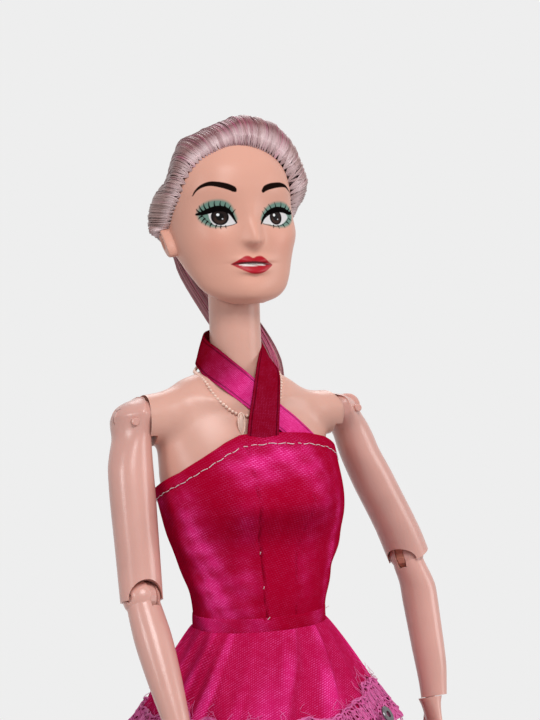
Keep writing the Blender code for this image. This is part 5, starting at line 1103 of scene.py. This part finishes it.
def make_strands():
    """Locks rooted in two rows along the hairline, combed back to the tie, with a painted highlight just
    behind the roots.
    """
    plugs = np.concatenate([np.linspace(-2, 2, LOCKS // 2 + 1)[:-1], np.linspace(-1.98, 1.98, LOCKS // 2)])
    layer = np.repeat((0, 0.05), LOCKS // 2)
    locks = np.repeat(np.arange(LOCKS), PER_LOCK)
    turn = plugs[locks]
    first = layer[locks]
    count = len(turn)
    steps = 28
    ts = np.linspace(0, 1, steps)
    root = hairline(turn)
    drift = hairline(np.clip(turn + CHANCE.normal(0, 0.016, count), -2, 2))
    whole = np.arccos(np.clip(root @ GATHER, -1, 1))
    paths = np.empty((count, steps, 3))
    lift = np.clip(CHANCE.uniform(0.80, 1.04, count) + CHANCE.normal(0, 0.035, LOCKS)[locks], 0.75, 1.1)
    sway, speed = CHANCE.normal(0, 0.010, LOCKS)[locks], CHANCE.uniform(5, 10, LOCKS)[locks]
    for k, t in enumerate(ts):
        blend = min(0.05 + t * 18, 1)
        start = root * (1 - blend) + drift * blend
        start += np.cross(root, GATHER) * (sway * np.sin(t * speed) * min(t * 4, 1))[:, None]
        start /= np.linalg.norm(start, axis=1, keepdims=True)
        along = (first + (1 - first) * t) * (1 - TIE_HOLE * 0.75 / whole)
        swell = math.sin(math.pi / 2 * min(t * 2.9, 1)) ** 0.65
        wave = 0.14 * np.sin(t * 9 + turn * 7)
        directions = slerp(start, np.broadcast_to(GATHER, start.shape), along[:, None])
        paths[:, k] = head_point(directions, -0.1 + (3.35 * lift + wave + hair_grow(directions)) * swell)
    radii = np.interp(ts, (0, 0.06, 0.3, 1), (0.12, 0.17, 0.19, 0.16))[None]
    radii = radii * CHANCE.uniform(0.8, 1.15, (count, 1))
    tints = np.repeat(hair_tints(count, locks)[:, None], steps, axis=1)
    grey = (0.75 * bell(np.abs(turn) - 0.98, 0.42))[:, None, None]
    tints = tints * (1 - grey) + np.array((0.44, 0.31, 0.28)) * grey
    # Painted highlight: each lock paler just behind its roots, where light catches the strands as they rise.
    shine = np.interp(ts, (0, 0.012, 0.03, 0.055, 0.10), (0.25, 0.75, 1, 0.8, 0))[None, :]
    pale = (shine * CHANCE.uniform(0.35, 0.9, LOCKS)[locks][:, None])[..., None]
    tints = tints * (1 - pale) + np.array((0.88, 0.69, 0.70)) * pale
    strands("hair_strands", paths, radii, tints)


def make_ponytail():
    """Strands through the tie, down behind the doll's left side of the neck."""
    root_end = head_point(GATHER[None], 0.3, plain=True)[0]
    tie = root_end + GATHER * (3.6 + 1.1 + 2.42)
    key = np.array((root_end + GATHER * 1.0, tie, tie + GATHER * 4.0 + (0, 0, -1.1),
                    tie + GATHER * 3.7 + (2.4, 0, -11.2), tie + (6.8, -1.4, -21.3),
                    tie + (11.0, -5.0, -29.1), tie + (13.6, -7.6, -37.0),
                    tie + (13.6, -8.3, -47.0), tie + (13.4, -8.6, -56.0)))
    steps = 44
    at = np.linspace(0, 8, steps)
    middle = smooth_path(key, at)
    wide = np.interp(at, (0, 1, 2, 3, 4, 6, 7, 8), (1.9, 1.9, 3.5, 4.9, 5.3, 5.9, 5.2, 3.4))
    deep = np.interp(at, (0, 1, 2, 3, 4, 6, 7, 8), (1.9, 1.9, 2.6, 3.2, 3.5, 3.7, 3.2, 2.2))
    ahead = np.gradient(middle, axis=0)
    across = np.array([frame_of(a, X_AXIS)[0] for a in ahead])
    other = np.array([frame_of(a, X_AXIS)[1] for a in ahead])
    count = 900
    radius = np.sqrt(CHANCE.uniform(0, 1, count))
    angle = CHANCE.uniform(0, 2 * math.pi, count)
    wander = CHANCE.normal(0, 0.35, (count, 1)) * np.sin(at * 0.9 + CHANCE.uniform(0, 6, (count, 1)))
    end = CHANCE.uniform(0.86, 1.0, count)
    paths = np.empty((count, steps, 3))
    for k in range(steps):
        place = np.clip(at[k] * end, 0, 8)
        centre = np.column_stack([np.interp(place, at, middle[:, j]) for j in range(3)])
        u = np.cos(angle) * radius * wide[k] + wander[:, k] * (k / steps)
        v = np.sin(angle) * radius * deep[k]
        paths[:, k] = centre + across[k] * u[:, None] + other[k] * v[:, None]
    radii = np.interp(at, (0, 7, 8), (0.15, 0.17, 0.05))[None] * CHANCE.uniform(0.8, 1.2, (count, 1))
    tints = hair_tints(count, (angle * 9).astype(int)) * 1.5 + 0.06
    tail = strands("ponytail_strands", paths, radii, tints)
    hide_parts("ponytail")


def make_hair_tie():
    """An elastic wound three times round the ponytail's root."""
    low, high = (np.array(v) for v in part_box("hair_tie"))
    centre = ((low + high) / 2 - SHIFT) / MM
    half = (high - low) / MM / 2
    across, other, along = frame_of(GATHER, X_AXIS)
    reach = min(half[0], half[2]) - 0.55
    turns = np.linspace(0, 6 * math.pi, 240)
    wobble = 0.10 * np.sin(turns * 5.3)
    line = [centre + across * math.cos(t) * (reach + w) + other * math.sin(t) * (reach + w)
            + along * ((t / (6 * math.pi) - 0.5) * (2 * half[1] - 1.2)) for t, w in zip(turns, wobble)]
    made = tube("hair_elastic", line, 0.5, ELASTIC, "head", sides=10)
    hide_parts("hair_tie")


# The dress

def off_front(turn):
    """Degrees round from the front, growing towards the doll's left."""
    return np.degrees((turn - FRONT + math.pi) % (2 * math.pi) - math.pi)


def cloth_shell(name, outer, inner, across, height, material, painted_highlight=None):
    """A wall of cloth with its own coordinates in millimetres, for the weave, and its painted highlights at
    each vertex.
    """
    verts, faces = shell(outer, inner)
    place = np.stack(np.broadcast_arrays(across, height, 0 * across), -1)
    both = np.concatenate([place, place[::-1]]).reshape(-1, 3)
    lit = np.zeros(place.shape[:2]) if painted_highlight is None else np.clip(painted_highlight, 0, 1)
    return object_from(name, verts, faces, material, "torso", attributes=(
        ("cloth", "FLOAT_VECTOR", both), ("painted_highlight", "FLOAT", np.concatenate([lit, lit[::-1]]).ravel())))


# Painted highlights on the bodice, as (degrees from the front, height, spread in degrees, spread in height,
# strength).
PAINTED_HIGHLIGHTS = ((-12, 218.5, 14, 3.2, 1.1), (7, 220.5, 10, 2.8, 0.9), (-57, 191, 13, 4.5, 1.4),
        (-60, 204, 9, 8, 1.0), (-48, 199, 9, 4, 0.7), (-28, 193, 10, 3, 0.5), (22, 218.5, 10, 3.5, 0.7),
        (50, 201, 5, 12, 0.5), (-88, 211, 8, 3, 0.4), (-45, 187, 20, 2, 0.5), (-22, 206, 7, 9, 0.22),
        (28, 212, 12, 7, 0.3), (20, 196, 9, 8, 0.18), (150, 205, 30, 9, 0.5), (-150, 195, 25, 9, 0.4))


# How much painted highlight lies on the bodice, pulled unevenly across it.
def bodice_painted_highlight(turn, z):
    off = off_front(turn)
    total = sum(strong * bell(off - middle, wide) * bell(z - level, tall)
                for middle, level, wide, tall, strong in PAINTED_HIGHLIGHTS)
    pull = 0.78 + 0.45 * np.sin(z * 1.1 + off * 0.12) * np.sin(off * 0.21 - z * 0.5)
    return total * pull


BODICE_LOW = 184.6
TOP_EDGE = np.array(((-180, 211.5), (-120, 212.2), (-91, 214.1), (-59, 217.6), (-43, 220.2), (-24, 223.6),
                     (-13, 225.1), (4, 225.3), (29, 224.6), (50, 223.2), (73, 220.6), (95, 216.6),
                     (120, 213.0), (180, 211.5)))


def bodice_top(turn):
    return np.interp(off_front(turn), TOP_EDGE[:, 0], TOP_EDGE[:, 1])


def ridge(turn, z, line, wide):
    """A seam's raised line through (degrees, height) points."""
    line = np.asarray(line, dtype=float)
    where = np.interp(z, line[:, 1], line[:, 0])
    return bell(np.radians(off_front(turn) - where) * 17, wide)


DART_RIGHT = ((-11.4, 184), (-13.3, 189.3), (-11.6, 198.1), (-16, 211), (-10.4, 226))
DART_LEFT = ((11, 184), (13, 189), (12, 198), (18, 211), (22, 226))
SEAM_LEFT = ((54, 184), (52, 193.9), (49.3, 200.1), (43.7, 210.9), (45, 226))
SEAM_RIGHT = ((-60, 184), (-62, 200), (-64, 226))


def fullness(turn, z):
    """Where the bodice stands away from the body, on the doll's left."""
    return 1.7 * bell(off_front(turn) - 82, 38) * bell(z - 205, 12)


def bodice_relief(turn, z):
    """Darts, seams and the soft pulls of satin over the body."""
    face = 0.40 * ridge(turn, z, DART_RIGHT, 1.0) - 0.75 * ridge(turn, z, DART_RIGHT, 0.32)
    face += 0.30 * ridge(turn, z, DART_LEFT, 1.0) - 0.45 * ridge(turn, z, DART_LEFT, 0.30)
    face += 0.32 * ridge(turn, z, SEAM_LEFT, 0.8) - 0.65 * ridge(turn, z, SEAM_LEFT, 0.30)
    face += 0.20 * ridge(turn, z, SEAM_RIGHT, 0.7) - 0.22 * ridge(turn, z, SEAM_RIGHT, 0.25)
    off = off_front(turn)
    face += 0.30 * np.sin(z * 0.62 + off * 0.055) * bell(off + 78, 30) * bell(z - 196, 9)
    face += 0.26 * np.sin(z * 0.75 - off * 0.06 + 1) * bell(off - 75, 26) * bell(z - 195, 8)
    face += 0.16 * np.sin(z * 0.9 + off * 0.10) * bell(off + 34, 16) * bell(z - 190, 5)
    face += 0.22 * bell(off + 30, 7) * bell(z - 203, 10)
    return face


def tube(name, points, radius, material, body_name, closed=False, sides=8):
    points = np.asarray(points, dtype=float)
    if closed:
        points = np.concatenate([points, points[:1]])
    mesh = tubes(points[None], np.full((1, len(points)), radius), sides)
    return object_from(name, *mesh, material, body_name)


def tubes(paths, radii, sides=6):
    """Vertices and faces of round threads along paths (count, points, 3), capped."""
    count, steps = paths.shape[:2]
    ahead = np.gradient(paths, axis=1)
    ahead /= np.linalg.norm(ahead, axis=-1, keepdims=True) + 1e-9
    side = np.cross(ahead, np.array((0.13, 0.21, 0.97)))
    side /= np.linalg.norm(side, axis=-1, keepdims=True) + 1e-9
    other = np.cross(ahead, side)
    turns = full_turn(sides)
    ring = (np.cos(turns)[None, None, :, None] * side[:, :, None, :]
            + np.sin(turns)[None, None, :, None] * other[:, :, None, :])
    points = (paths[:, :, None, :] + ring * radii[:, :, None, None]).reshape(-1, 3)
    base = grid_faces(steps, sides)
    faces = (base[None] + (np.arange(count) * steps * sides)[:, None, None]).reshape(-1, 4).tolist()
    for k in range(count):
        first = k * steps * sides
        faces.append(list(range(first, first + sides)))
        faces.append(list(range(first + (steps - 1) * sides, first + steps * sides)))
    return points, faces


def threads(name, paths, radius, material, sides=6):
    """Thin round threads on the dress, as one mesh."""
    paths = np.array(paths)
    return object_from(name, *tubes(paths, np.full(paths.shape[:2], radius), sides), material, "torso")


def wrapped(rows, sides):
    """Shares from 0 to 1 and turns round the body, as two grids."""
    ring = FRONT - math.pi + full_turn(sides)
    return np.broadcast_arrays(np.linspace(0, 1, rows)[:, None], ring[None])


def on_bodice(turn, z, grow):
    """Points at a distance from the bodice's surface."""
    return body(z, turn, 1.3 + fullness(turn, np.asarray(z, dtype=float)) + grow, bridged=True)


def make_bodice():
    """The fitted satin bodice, thicker along its hem."""
    share, turn = wrapped(110, 240)
    tall = bodice_top(turn) - BODICE_LOW
    z = BODICE_LOW + tall * share
    below = (1 - share) * tall
    hem = 0.16 * smoothstep((2.7 - below) / 0.5) - 0.14 * bell(below - 2.4, 0.2)
    pulls = bodice_relief(turn, z) * smoothstep((below + 0.4) / 2)
    full = fullness(turn, z)
    outer = body(z, turn, 1.3 + full + pulls + hem, bridged=True)
    inner = body(z, turn, 0.75 + full, bridged=True)
    across = np.radians(off_front(turn)) * 17.5
    # The satin carries the painted highlights of the table above.
    made = cloth_shell("bodice_satin", outer, inner, across, z, SATIN, bodice_painted_highlight(turn, z))
    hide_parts("bodice")
    make_stitches()


LOOSE_ENDS = ((-11.4, 185.2, 0.5), (-12.6, 199.5, 0.1), (61.0, 185.0, 0.3), (-13.4, 192, 0.1))


def make_stitches():
    """The row of stitches under the bodice's edge, and a few loose ends of thread."""
    paths = []
    for start in np.radians(np.arange(-178, 178, 5.6)) + FRONT:
        turns = start + np.radians(np.linspace(0, 4.7, 7))
        z = bodice_top(turns) - 2.4 + 0.10 * np.sin(turns * 40)
        lift = 0.14 * np.sin(np.linspace(0, math.pi, 7))
        paths.append(body(z, turns, 1.36 + fullness(turns, z) + lift, bridged=True))
    threads("edge_stitches", paths, 0.075, THREAD)
    ends = []
    for turn, z, lean in LOOSE_ENDS:
        start = on_bodice(math.radians(turn) + FRONT, z, 0.2)
        away = unit(start * (1, 1, 0))
        ends.append([start + away * 0.5 * t + (lean * t * 0.8, 0, 0.5 * t) for t in np.linspace(0, 1, 6)])
    threads("seam_threads", ends, 0.09, THREAD)


WAIST_LOW = 182.3


def make_waistband():
    """The folded band between bodice and skirt."""
    share, turn = wrapped(22, 240)
    z = WAIST_LOW + 3.2 * share
    swell = 0.12 * np.sin(share * math.pi) ** 0.5 + 0.06 * np.sin(turn * 11 + share * 4)
    outer = body(z, turn, 1.40 + swell)
    inner = body(z, turn, 0.7)
    off = off_front(turn)
    # Painted highlights in three patches round the band.
    painted_highlight = 0.7 * bell(off + 66, 20) + 0.4 * bell(off + 20, 12) + 0.3 * bell(off - 40, 10)
    made = cloth_shell("waistband_satin", outer, inner, np.radians(off) * 16, z, SATIN, painted_highlight)
    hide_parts("waistband")


SKIRT_TOP = 182.5
SKIRT_LOW = 161.0


def around(z_top, turn, out, z):
    """Points at height z, out from the body's outline at z_top."""
    waist = body(z_top, turn)
    away = np.stack([np.cos(turn), np.sin(turn), 0 * turn], -1)
    points = waist + away * out[..., None]
    points[..., 2] = z
    return points


def pleats(turn, share):
    """Soft knife pleats that swing towards the doll's right as they fall."""
    swung = turn + 0.30 * share + 0.05 * np.sin(turn * 3 + 1)
    phase = (swung * 18 / (2 * math.pi) + 0.22 * np.sin(turn * 2 + 0.6)) % 1
    knife = np.where(phase < 0.70, smoothstep(phase / 0.70), 1 - smoothstep((phase - 0.70) / 0.30))
    strong = 0.72 + 0.38 * np.sin(turn * 5 + 2.0)
    return (knife - 0.35) * strong


def tier_point(turn, share, grow=0.0):
    fold = 3.1 * pleats(turn, share) * (0.16 + 0.84 * share ** 0.8)
    fold = fold + 0.35 * np.sin(turn * 31 + 9 * share) * share * (1 - share)
    out = 1.35 + 12.6 * share ** 0.94 + fold + grow
    return around(SKIRT_TOP, turn, out, SKIRT_TOP - (SKIRT_TOP - SKIRT_LOW) * share)


def make_skirt():
    """The pleated tier, and the gathered ruffle that hangs from its hem."""
    share, turn = wrapped(56, 720)
    outer = tier_point(turn, share, 0.35)
    inner = tier_point(turn, share, 0.0)
    off = off_front(turn)
    across = np.radians(off) * (17 + 20 * share)
    # Painted highlights along the pleats' ridges and in two patches low on the front, over an even painted
    # lift of 0.26.
    uneven = 0.45 + 0.45 * np.sin(turn * 6 + share * 6.5 + 0.4) * np.sin(turn * 11 - share * 4)
    painted_highlight = smoothstep((pleats(turn, share) - 0.15) / 0.45) * uneven
    painted_highlight = painted_highlight + 0.5 * bell(off + 8 + 14 * share, 9) * bell(share - 0.75, 0.3)
    painted_highlight = painted_highlight + 0.45 * bell(off - 20, 8) * bell(share - 0.7, 0.35) + 0.26
    tier = cloth_shell("skirt_tier_satin", outer, inner, across, 22 * share, SATIN, painted_highlight)
    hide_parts("skirt_tier")
    share, turn = wrapped(40, 720)
    fold = 1.8 * np.cos(turn * 18 + 0.7 * np.sin(turn * 4)) * (0.25 + 0.75 * share)
    fold = fold + 0.5 * np.sin(turn * 37 + 1.0) * share
    walls = [around(180.5, turn, 1.3 + 12.4 + 8.6 * share + fold + grow, 160.9 - 19.1 * share)
             for grow in (0.35, 0.0)]
    across = np.radians(off_front(turn)) * (34 + 9 * share)
    ruffle = cloth_shell("skirt_ruffle_satin", *walls, across, 20 * share, SATIN)
    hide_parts("skirt_ruffle")


LACE_LOW = 159.6


def lace_top(turn):
    """The height of the lace's upper edge, which rides up at the doll's left."""
    off = off_front(turn)
    return 165.2 + 4.2 * bell(off - 58, 26) + 1.6 * bell(off + 62, 20) + 0.35 * np.sin(turn * 23)


def lace_spot(turn, height, out=0.0):
    """A place on the lace: height 0 at its foot, 1 at its head."""
    z = LACE_LOW + (lace_top(turn) - LACE_LOW) * height
    share = np.clip((SKIRT_TOP - z) / (SKIRT_TOP - SKIRT_LOW), 0, 1.06)
    down = 1 - np.clip(height, 0, 1)
    flare = 1.1 * down + 2.6 * bell(off_front(turn) + 84, 16) * down**2
    points = tier_point(turn, share, 0.75 + flare + out)
    points[..., 2] = z
    return points


def lace_rings(count, first, swing, height, out):
    """One bent thread, repeated round the lace."""
    centres = FRONT - math.pi + 2 * math.pi * (np.arange(count) + first) / count
    return [lace_spot(centre + swing, height, out) for centre in centres]


def make_lace():
    """The lace on the tier's hem: a net with cords, rows of loops and frayed ends."""
    share, turn = wrapped(16, 720)
    wave = 0.12 * np.sin(turn * 90)
    outer = lace_spot(turn, share, 0.14 + wave)
    inner = lace_spot(turn, share, wave)
    rise = share * (lace_top(turn) - LACE_LOW)
    made = cloth_shell("lace_net", outer, inner, np.radians(off_front(turn)) * 33, rise, LACE)
    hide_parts("lace_band")
    turns = np.linspace(-math.pi, math.pi, 720) + FRONT
    paths = [lace_spot(turns, level + wobble * np.sin(turns * 64), 0.30)
             for level, wobble in ((0.06, 0.05), (0.42, 0.05), (0.97, 0.03))]
    cords = threads("lace_cords", paths, 0.17, PINK)
    half, bend = np.linspace(0, math.pi, 13), np.linspace(0, 2 * math.pi, 13)
    loops = lace_rings(84, 0.5, 0.034 * np.cos(half), 0.02 - 0.16 * np.sin(half), 0.2)
    loops += lace_rings(168, 0.5, 0.013 * np.cos(bend), 0.64 + 0.17 * np.sin(bend), 0.22)
    loops += lace_rings(84, 0.0, 0.014 * np.sin(bend * 2), 0.23 + 0.13 * np.cos(bend), 0.22)
    looped = threads("lace_loops", loops, 0.10, PINK, 5)
    frays = []
    for _ in range(130):
        start = CHANCE.uniform(-math.pi, math.pi)
        drift, sway, tall = CHANCE.normal(0, 0.05), CHANCE.normal(0, 0.03), CHANCE.uniform(0.1, 0.55)
        t = np.linspace(0, 1, 9)
        turns = FRONT + start + drift * t + sway * np.sin(t * 7)
        frays.append(lace_spot(turns, 0.9 + tall * t, 0.2 + 0.5 * np.sin(t * 3)))
    frayed = threads("lace_frays", frays, 0.042, PINK, 4)


def ribbon(name, one_edge, other_edge, lights, thick=0.32):
    """A satin ribbon between two edges given as rows of points, with painted highlights along it from the
    lights table (shares along, strengths).
    """
    count = 90
    edges = []
    for edge in (one_edge, other_edge):
        length = distances(edge)
        edges.append(smooth_path(edge, np.linspace(0, 1, count), length / length[-1]))
    across = np.linspace(0, 1, 13)
    middle = edges[0][:, None] * (1 - across[None, :, None]) + edges[1][:, None] * across[None, :, None]
    ahead = np.gradient(middle, axis=0)
    wide = np.gradient(middle, axis=1)
    normal = np.cross(ahead, wide)
    normal /= np.linalg.norm(normal, axis=-1, keepdims=True)
    outward = middle - np.array((0, NECK_Y, 0))
    outward[..., 2] = 0
    normal *= np.sign((normal * outward).sum(-1, keepdims=True) + 1e-9)
    bulge = 0.25 * (1 - (2 * across - 1) ** 2)[None, :, None]
    edge_rib = 0.07 * (bell(across - 0.05, 0.05) + bell(across - 0.95, 0.05))[None, :, None]
    top = middle + normal * (thick / 2 + bulge + edge_rib)
    under = middle + normal * (bulge - thick / 2)
    loops = np.concatenate([top, under[:, ::-1]], axis=1)
    verts, faces = loft(loops)
    shares = np.linspace(0, 1, count)[:, None]
    # Painted highlight along the ribbon, the same across its width.
    lit = np.broadcast_to(np.interp(shares, *lights), (count, 26))
    run = distances(middle[:, 6])
    u = np.concatenate([across, across[::-1]]) * RIBBON_WIDE
    place = np.stack(np.broadcast_arrays(u[None], run[:, None], 0 * u[None]), -1).reshape(-1, 3)
    made = object_from(name, verts, faces, RIBBON, "torso", attributes=(
        ("cloth", "FLOAT_VECTOR", place), ("painted_highlight", "FLOAT", lit.ravel())))
    return made, run[-1]


def make_halter():
    """Two ribbons from the bodice's edge, crossed on the chest and joined behind the neck."""
    # The under ribbon carries a strong painted highlight along its front part; the over ribbon next to none.
    under, under_run = ribbon("halter_ribbon_under", (
        (0.3, 13.6, 248.8), (-4.2, 12.6, 248.0), (-6.4, 9.8, 246.9), (-6.6, 7.0, 245.7), (-6.2, 2.7, 244.2),
        (-4.2, 0.1, 241.8), (0.5, -1.9, 237.2), (5.7, -3.3, 231.5), (9.5, -4.3, 228.0),
        (14.4, -4.5, 223.2)), (
        (0.3, 14.4, 243.0), (-5.2, 13.6, 242.0), (-8.2, 10.6, 240.8), (-9.0, 7.0, 239.5), (-9.1, 3.4, 237.9),
        (-6.6, -0.4, 235.2), (-1.5, -2.9, 230.6), (4.3, -5.6, 225.8), (6.8, -6.7, 223.3), (9.0, -7.4, 221.4)),
        ((0, 0.3, 0.45, 0.58, 0.75, 1), (0, 0, 0.25, 1.3, 1.3, 1.1)))
    over, over_run = ribbon("halter_ribbon_over", (
        (-0.3, 13.8, 250.4), (3.0, 12.6, 249.8), (4.9, 9.6, 248.4), (5.4, 6.6, 246.6), (4.6, 3.2, 244.0),
        (1.5, -1.3, 239.4), (-0.9, -4.1, 233.6), (-2.9, -6.0, 228.4), (-4.2, -7.3, 223.2)), (
        (-0.3, 14.6, 244.6), (3.6, 13.9, 243.9), (6.4, 11.2, 243.4), (7.4, 7.6, 243.0), (7.2, 3.6, 241.0),
        (7.2, -0.9, 238.2), (5.9, -3.9, 233.7), (4.6, -5.8, 228.6), (3.4, -7.5, 223.0)),
        ((0, 1), (0.0, 0.04)))
    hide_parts("halter_ribbon")


def make_closure():
    """The bodice's hook tape: a short strip with a nap of loops, over the opening at the back."""
    rows, columns = 60, 14
    z = np.linspace(187.2, 209.6, rows)[:, None]
    across = np.linspace(-2.4, 2.4, columns)[None]
    turn = -FRONT + 0 * z + across / 17.0
    z = z + 0 * across
    nap = 0.07 * np.sin(z * 9.0) * np.sin(across * 8.0) + CHANCE.normal(0, 0.02, z.shape)
    top, under = on_bodice(turn, z, 0.68 + nap), on_bodice(turn, z, 0.28)
    verts, faces = loft(np.concatenate([top, under[:, ::-1]], axis=1))
    tape = object_from("closure_tape", verts, faces, TAPE, "torso")
    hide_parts("back_closure")
    paths = []
    for level in np.arange(187.6, 209.4, 0.9):
        for place in np.arange(-2.1, 2.2, 0.7):
            bend = np.linspace(0, math.pi, 6)
            at = -FRONT + (place + 0.25 * np.cos(bend)) / 17.0
            height = np.full(6, level + CHANCE.uniform(-0.2, 0.2))
            paths.append(on_bodice(at, height, 0.66 + 0.34 * np.sin(bend)))
    loops = threads("closure_loops", paths, 0.06, TAPE, 4)


# The necklace

NECKLACE = ((-9.2, 9.5, 238.9), (-9.8, 6.0, 238.4), (-9.75, 1.84, 236.9), (-9.1, -0.43, 234.5),
            (-7.96, -1.93, 232.5), (-6.49, -2.62, 231.0), (-5.1, -3.2, 229.9), (-3.4, -3.6, 229.2),
            (-1.0, -3.8, 228.9), (2.0, -3.7, 229.1), (4.6, -3.3, 230.2), (6.5, -2.2, 232.2),
            (7.3, -1.07, 234.0), (8.4, 0.74, 236.1), (8.9, 2.9, 238.0), (8.7, 6.0, 239.0),
            (7.0, 10.0, 240.6), (3.5, 12.9, 242.0), (0, 13.6, 242.4), (-3.8, 12.9, 241.6),
            (-7.4, 11.3, 240.0), (-9.2, 9.5, 238.9))


def make_necklace():
    """A string of small clear beads with a leaf-shaped pendant."""
    line = smooth_path(NECKLACE, np.linspace(0, len(NECKLACE) - 1, 1200))
    run = distances(line)
    count = int(run[-1] / 0.86)
    beads = (np.arange(count) + 0.5) * run[-1] / count
    points = np.column_stack([np.interp(beads, run, line[:, k]) for k in range(3)])
    rise = np.radians(np.linspace(-80, 80, 7))
    turns = full_turn(10)
    sphere = np.stack([np.outer(np.cos(rise), np.cos(turns)), np.outer(np.cos(rise), np.sin(turns)),
                       np.outer(np.sin(rise), np.ones(10))], -1).reshape(-1, 3)
    faces = grid_faces(7, 10).tolist() + [list(range(10))[::-1], list(range(60, 70))]
    verts = (points[:, None] + sphere[None] * 0.40).reshape(-1, 3)
    every = [[i + k * 70 for i in face] for k in range(count) for face in faces]
    object_from("necklace_beads", verts, every, BEAD, "torso")
    tube("necklace_cord", line[::6], 0.09, BEAD, "torso")
    make_pendant()


def make_pendant(centre=np.array((-4.2, -4.45, 227.4))):
    """A small clear leaf with a rounded rim."""
    rim = []
    for turn in np.linspace(0, 2 * math.pi, 33)[:-1]:
        wide = 0.95 * abs(math.sin(turn)) * abs(math.cos(turn / 2)) ** 0.5
        wide = wide if turn < math.pi else -wide
        rim.append(centre + (wide, -0.25 - 0.42 * (1 - math.cos(turn)) / 2 * 1.3, 2.4 * math.cos(turn)))
    tube("necklace_pendant", rim, 0.16, BEAD, "torso", closed=True)
    rows = ((-2.3, 0.1, 0.1), (-1.9, 0.55, 0.14), (-0.9, 0.88, 0.17), (0.3, 0.85, 0.17), (1.4, 0.5, 0.15),
            (2.2, 0.1, 0.1))
    rings = [oval(centre + (0, -0.25 - 0.1 * (1 - level / 2.4), level), wide, deep, X_AXIS, Y_AXIS, 20)
             for level, wide, deep in rows]
    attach(solid("necklace_leaf", rings, BEAD), "torso")


# Stage and camera

LAMPS = (((-0.12, -0.72, 0.95), 0.42, 6.8), ((-0.88, -0.30, 0.62), 0.24, 2.1),
         ((0.80, -0.50, 0.40), 0.45, 3.0), ((0.30, 0.65, 0.80), 0.5, 2.0))


def make_floor(size=0.5):
    """A pale floor that fades out into the backdrop."""
    made, tree, shader = new_material("floor", (0.84, 0.84, 0.84), 0.9)
    where = add_node(tree, "TexCoord", {}).outputs["Object"]
    away = add_node(tree, "VectorMath", {0: where}, operation="LENGTH").outputs["Value"]
    edges = {"From Min": 0.16, "From Max": 0.48, "To Min": 1.0, "To Max": 0.0, "Value": away}
    fade = add_node(tree, "MapRange", edges, interpolation_type="SMOOTHSTEP")
    feed(tree, fade.outputs["Result"], shader.inputs["Alpha"])
    mesh = bpy.data.meshes.new("floor")
    corners = [(-size, -size, 0), (size, -size, 0), (size, size, 0), (-size, size, 0)]
    mesh.from_pydata(corners, [], [(0, 1, 2, 3)])
    mesh.materials.append(made)
    in_scene("floor", mesh)


def make_world():
    """Dim even light, with a pale backdrop for the camera and for gloss."""
    world = bpy.context.scene.world or bpy.data.worlds.new("world")
    bpy.context.scene.world = world
    world.use_nodes = True
    tree = world.node_tree
    tree.nodes.clear()
    out = add_node(tree, "OutputWorld", {})
    plain = add_node(tree, "Background", {"Color": (0.92, 0.95, 1.0), "Strength": 0.26})
    seen = add_node(tree, "Background", {"Color": (0.855, 0.855, 0.855), "Strength": 1.0})
    rays = add_node(tree, "LightPath", {}).outputs
    direct = arithmetic(tree, "MAXIMUM", rays["Is Camera Ray"], rays["Is Glossy Ray"])
    direct = arithmetic(tree, "MAXIMUM", direct, rays["Is Transmission Ray"])
    mix = add_node(tree, "MixShader", {0: direct, 1: plain.outputs[0], 2: seen.outputs[0]})
    feed(tree, mix.outputs[0], out.inputs["Surface"])


def make_stage():
    """The floor, the world and four soft lamps."""
    make_floor()
    make_world()
    for place, size, energy in LAMPS:
        lamp = bpy.data.lights.new("softbox", "AREA")
        lamp.size = size
        lamp.energy = energy
        item = in_scene("softbox", lamp)
        item.location = place
        item.rotation_euler = (Vector((0, 0, 0.2)) - Vector(place)).to_track_quat("-Z", "Y").to_euler()


FRAME_TALL = 720
FOCAL = 1655.1
CAMERA_AWAY = 370.9
CAMERA_TURNS = (-24.69, 1.58, 2.04)


def make_camera():
    """The photograph's view: turned to the doll's right, with a little roll."""
    azimuth, elevation, roll = np.radians(CAMERA_TURNS)
    level = math.cos(elevation)
    back = Vector((math.sin(azimuth) * level, -math.cos(azimuth) * level, math.sin(elevation)))
    right = Vector((math.cos(azimuth), math.sin(azimuth), 0))
    up = back.cross(right)
    target = Vector(SHIFT) + right * (4.995 * MM) + Vector((0, 0, 241.07 * MM))
    data = bpy.data.cameras.new("camera")
    data.sensor_fit = "VERTICAL"
    data.sensor_height = 24
    data.lens = data.sensor_height * FOCAL / FRAME_TALL
    camera = in_scene("camera", data)
    turned_right = right * math.cos(roll) - up * math.sin(roll)
    turned_up = right * math.sin(roll) + up * math.cos(roll)
    turn = Matrix((turned_right, turned_up, back)).transposed().to_4x4()
    camera.matrix_world = Matrix.Translation(target + back * (CAMERA_AWAY * MM)) @ turn
    bpy.context.scene.camera = camera


def dress_nodes():
    """Plain CAD nodes that stay in view get their material."""
    looks = {"pin": STEEL, "bar": STEEL, "link": LINK, "disc": LINK, "peg": LINK, "knob": LINK,
             "elbow_pin": ARM_SKIN, "elbow_link_right": ARM_SKIN, "shoulder": ARM_SKIN, "shoe": SHOE,
             "sequin": RING_METAL}
    for name, item in frame["nodes"].items():
        for key, look in looks.items():
            if key in name:
                item.data.materials.clear()
                item.data.materials.append(look)


# Every piece in turn

make_torso()
for limb_side in (-1, 1):
    make_arm(limb_side)
    make_leg(limb_side)
make_head()
make_hair_base()
make_strands()
make_ponytail()
make_bodice()
make_waistband()
make_skirt()
make_lace()
make_halter()
make_necklace()
make_closure()
make_hair_tie()
dress_nodes()
make_stage()
make_camera()
bpy.context.scene.view_settings.view_transform = "Standard"
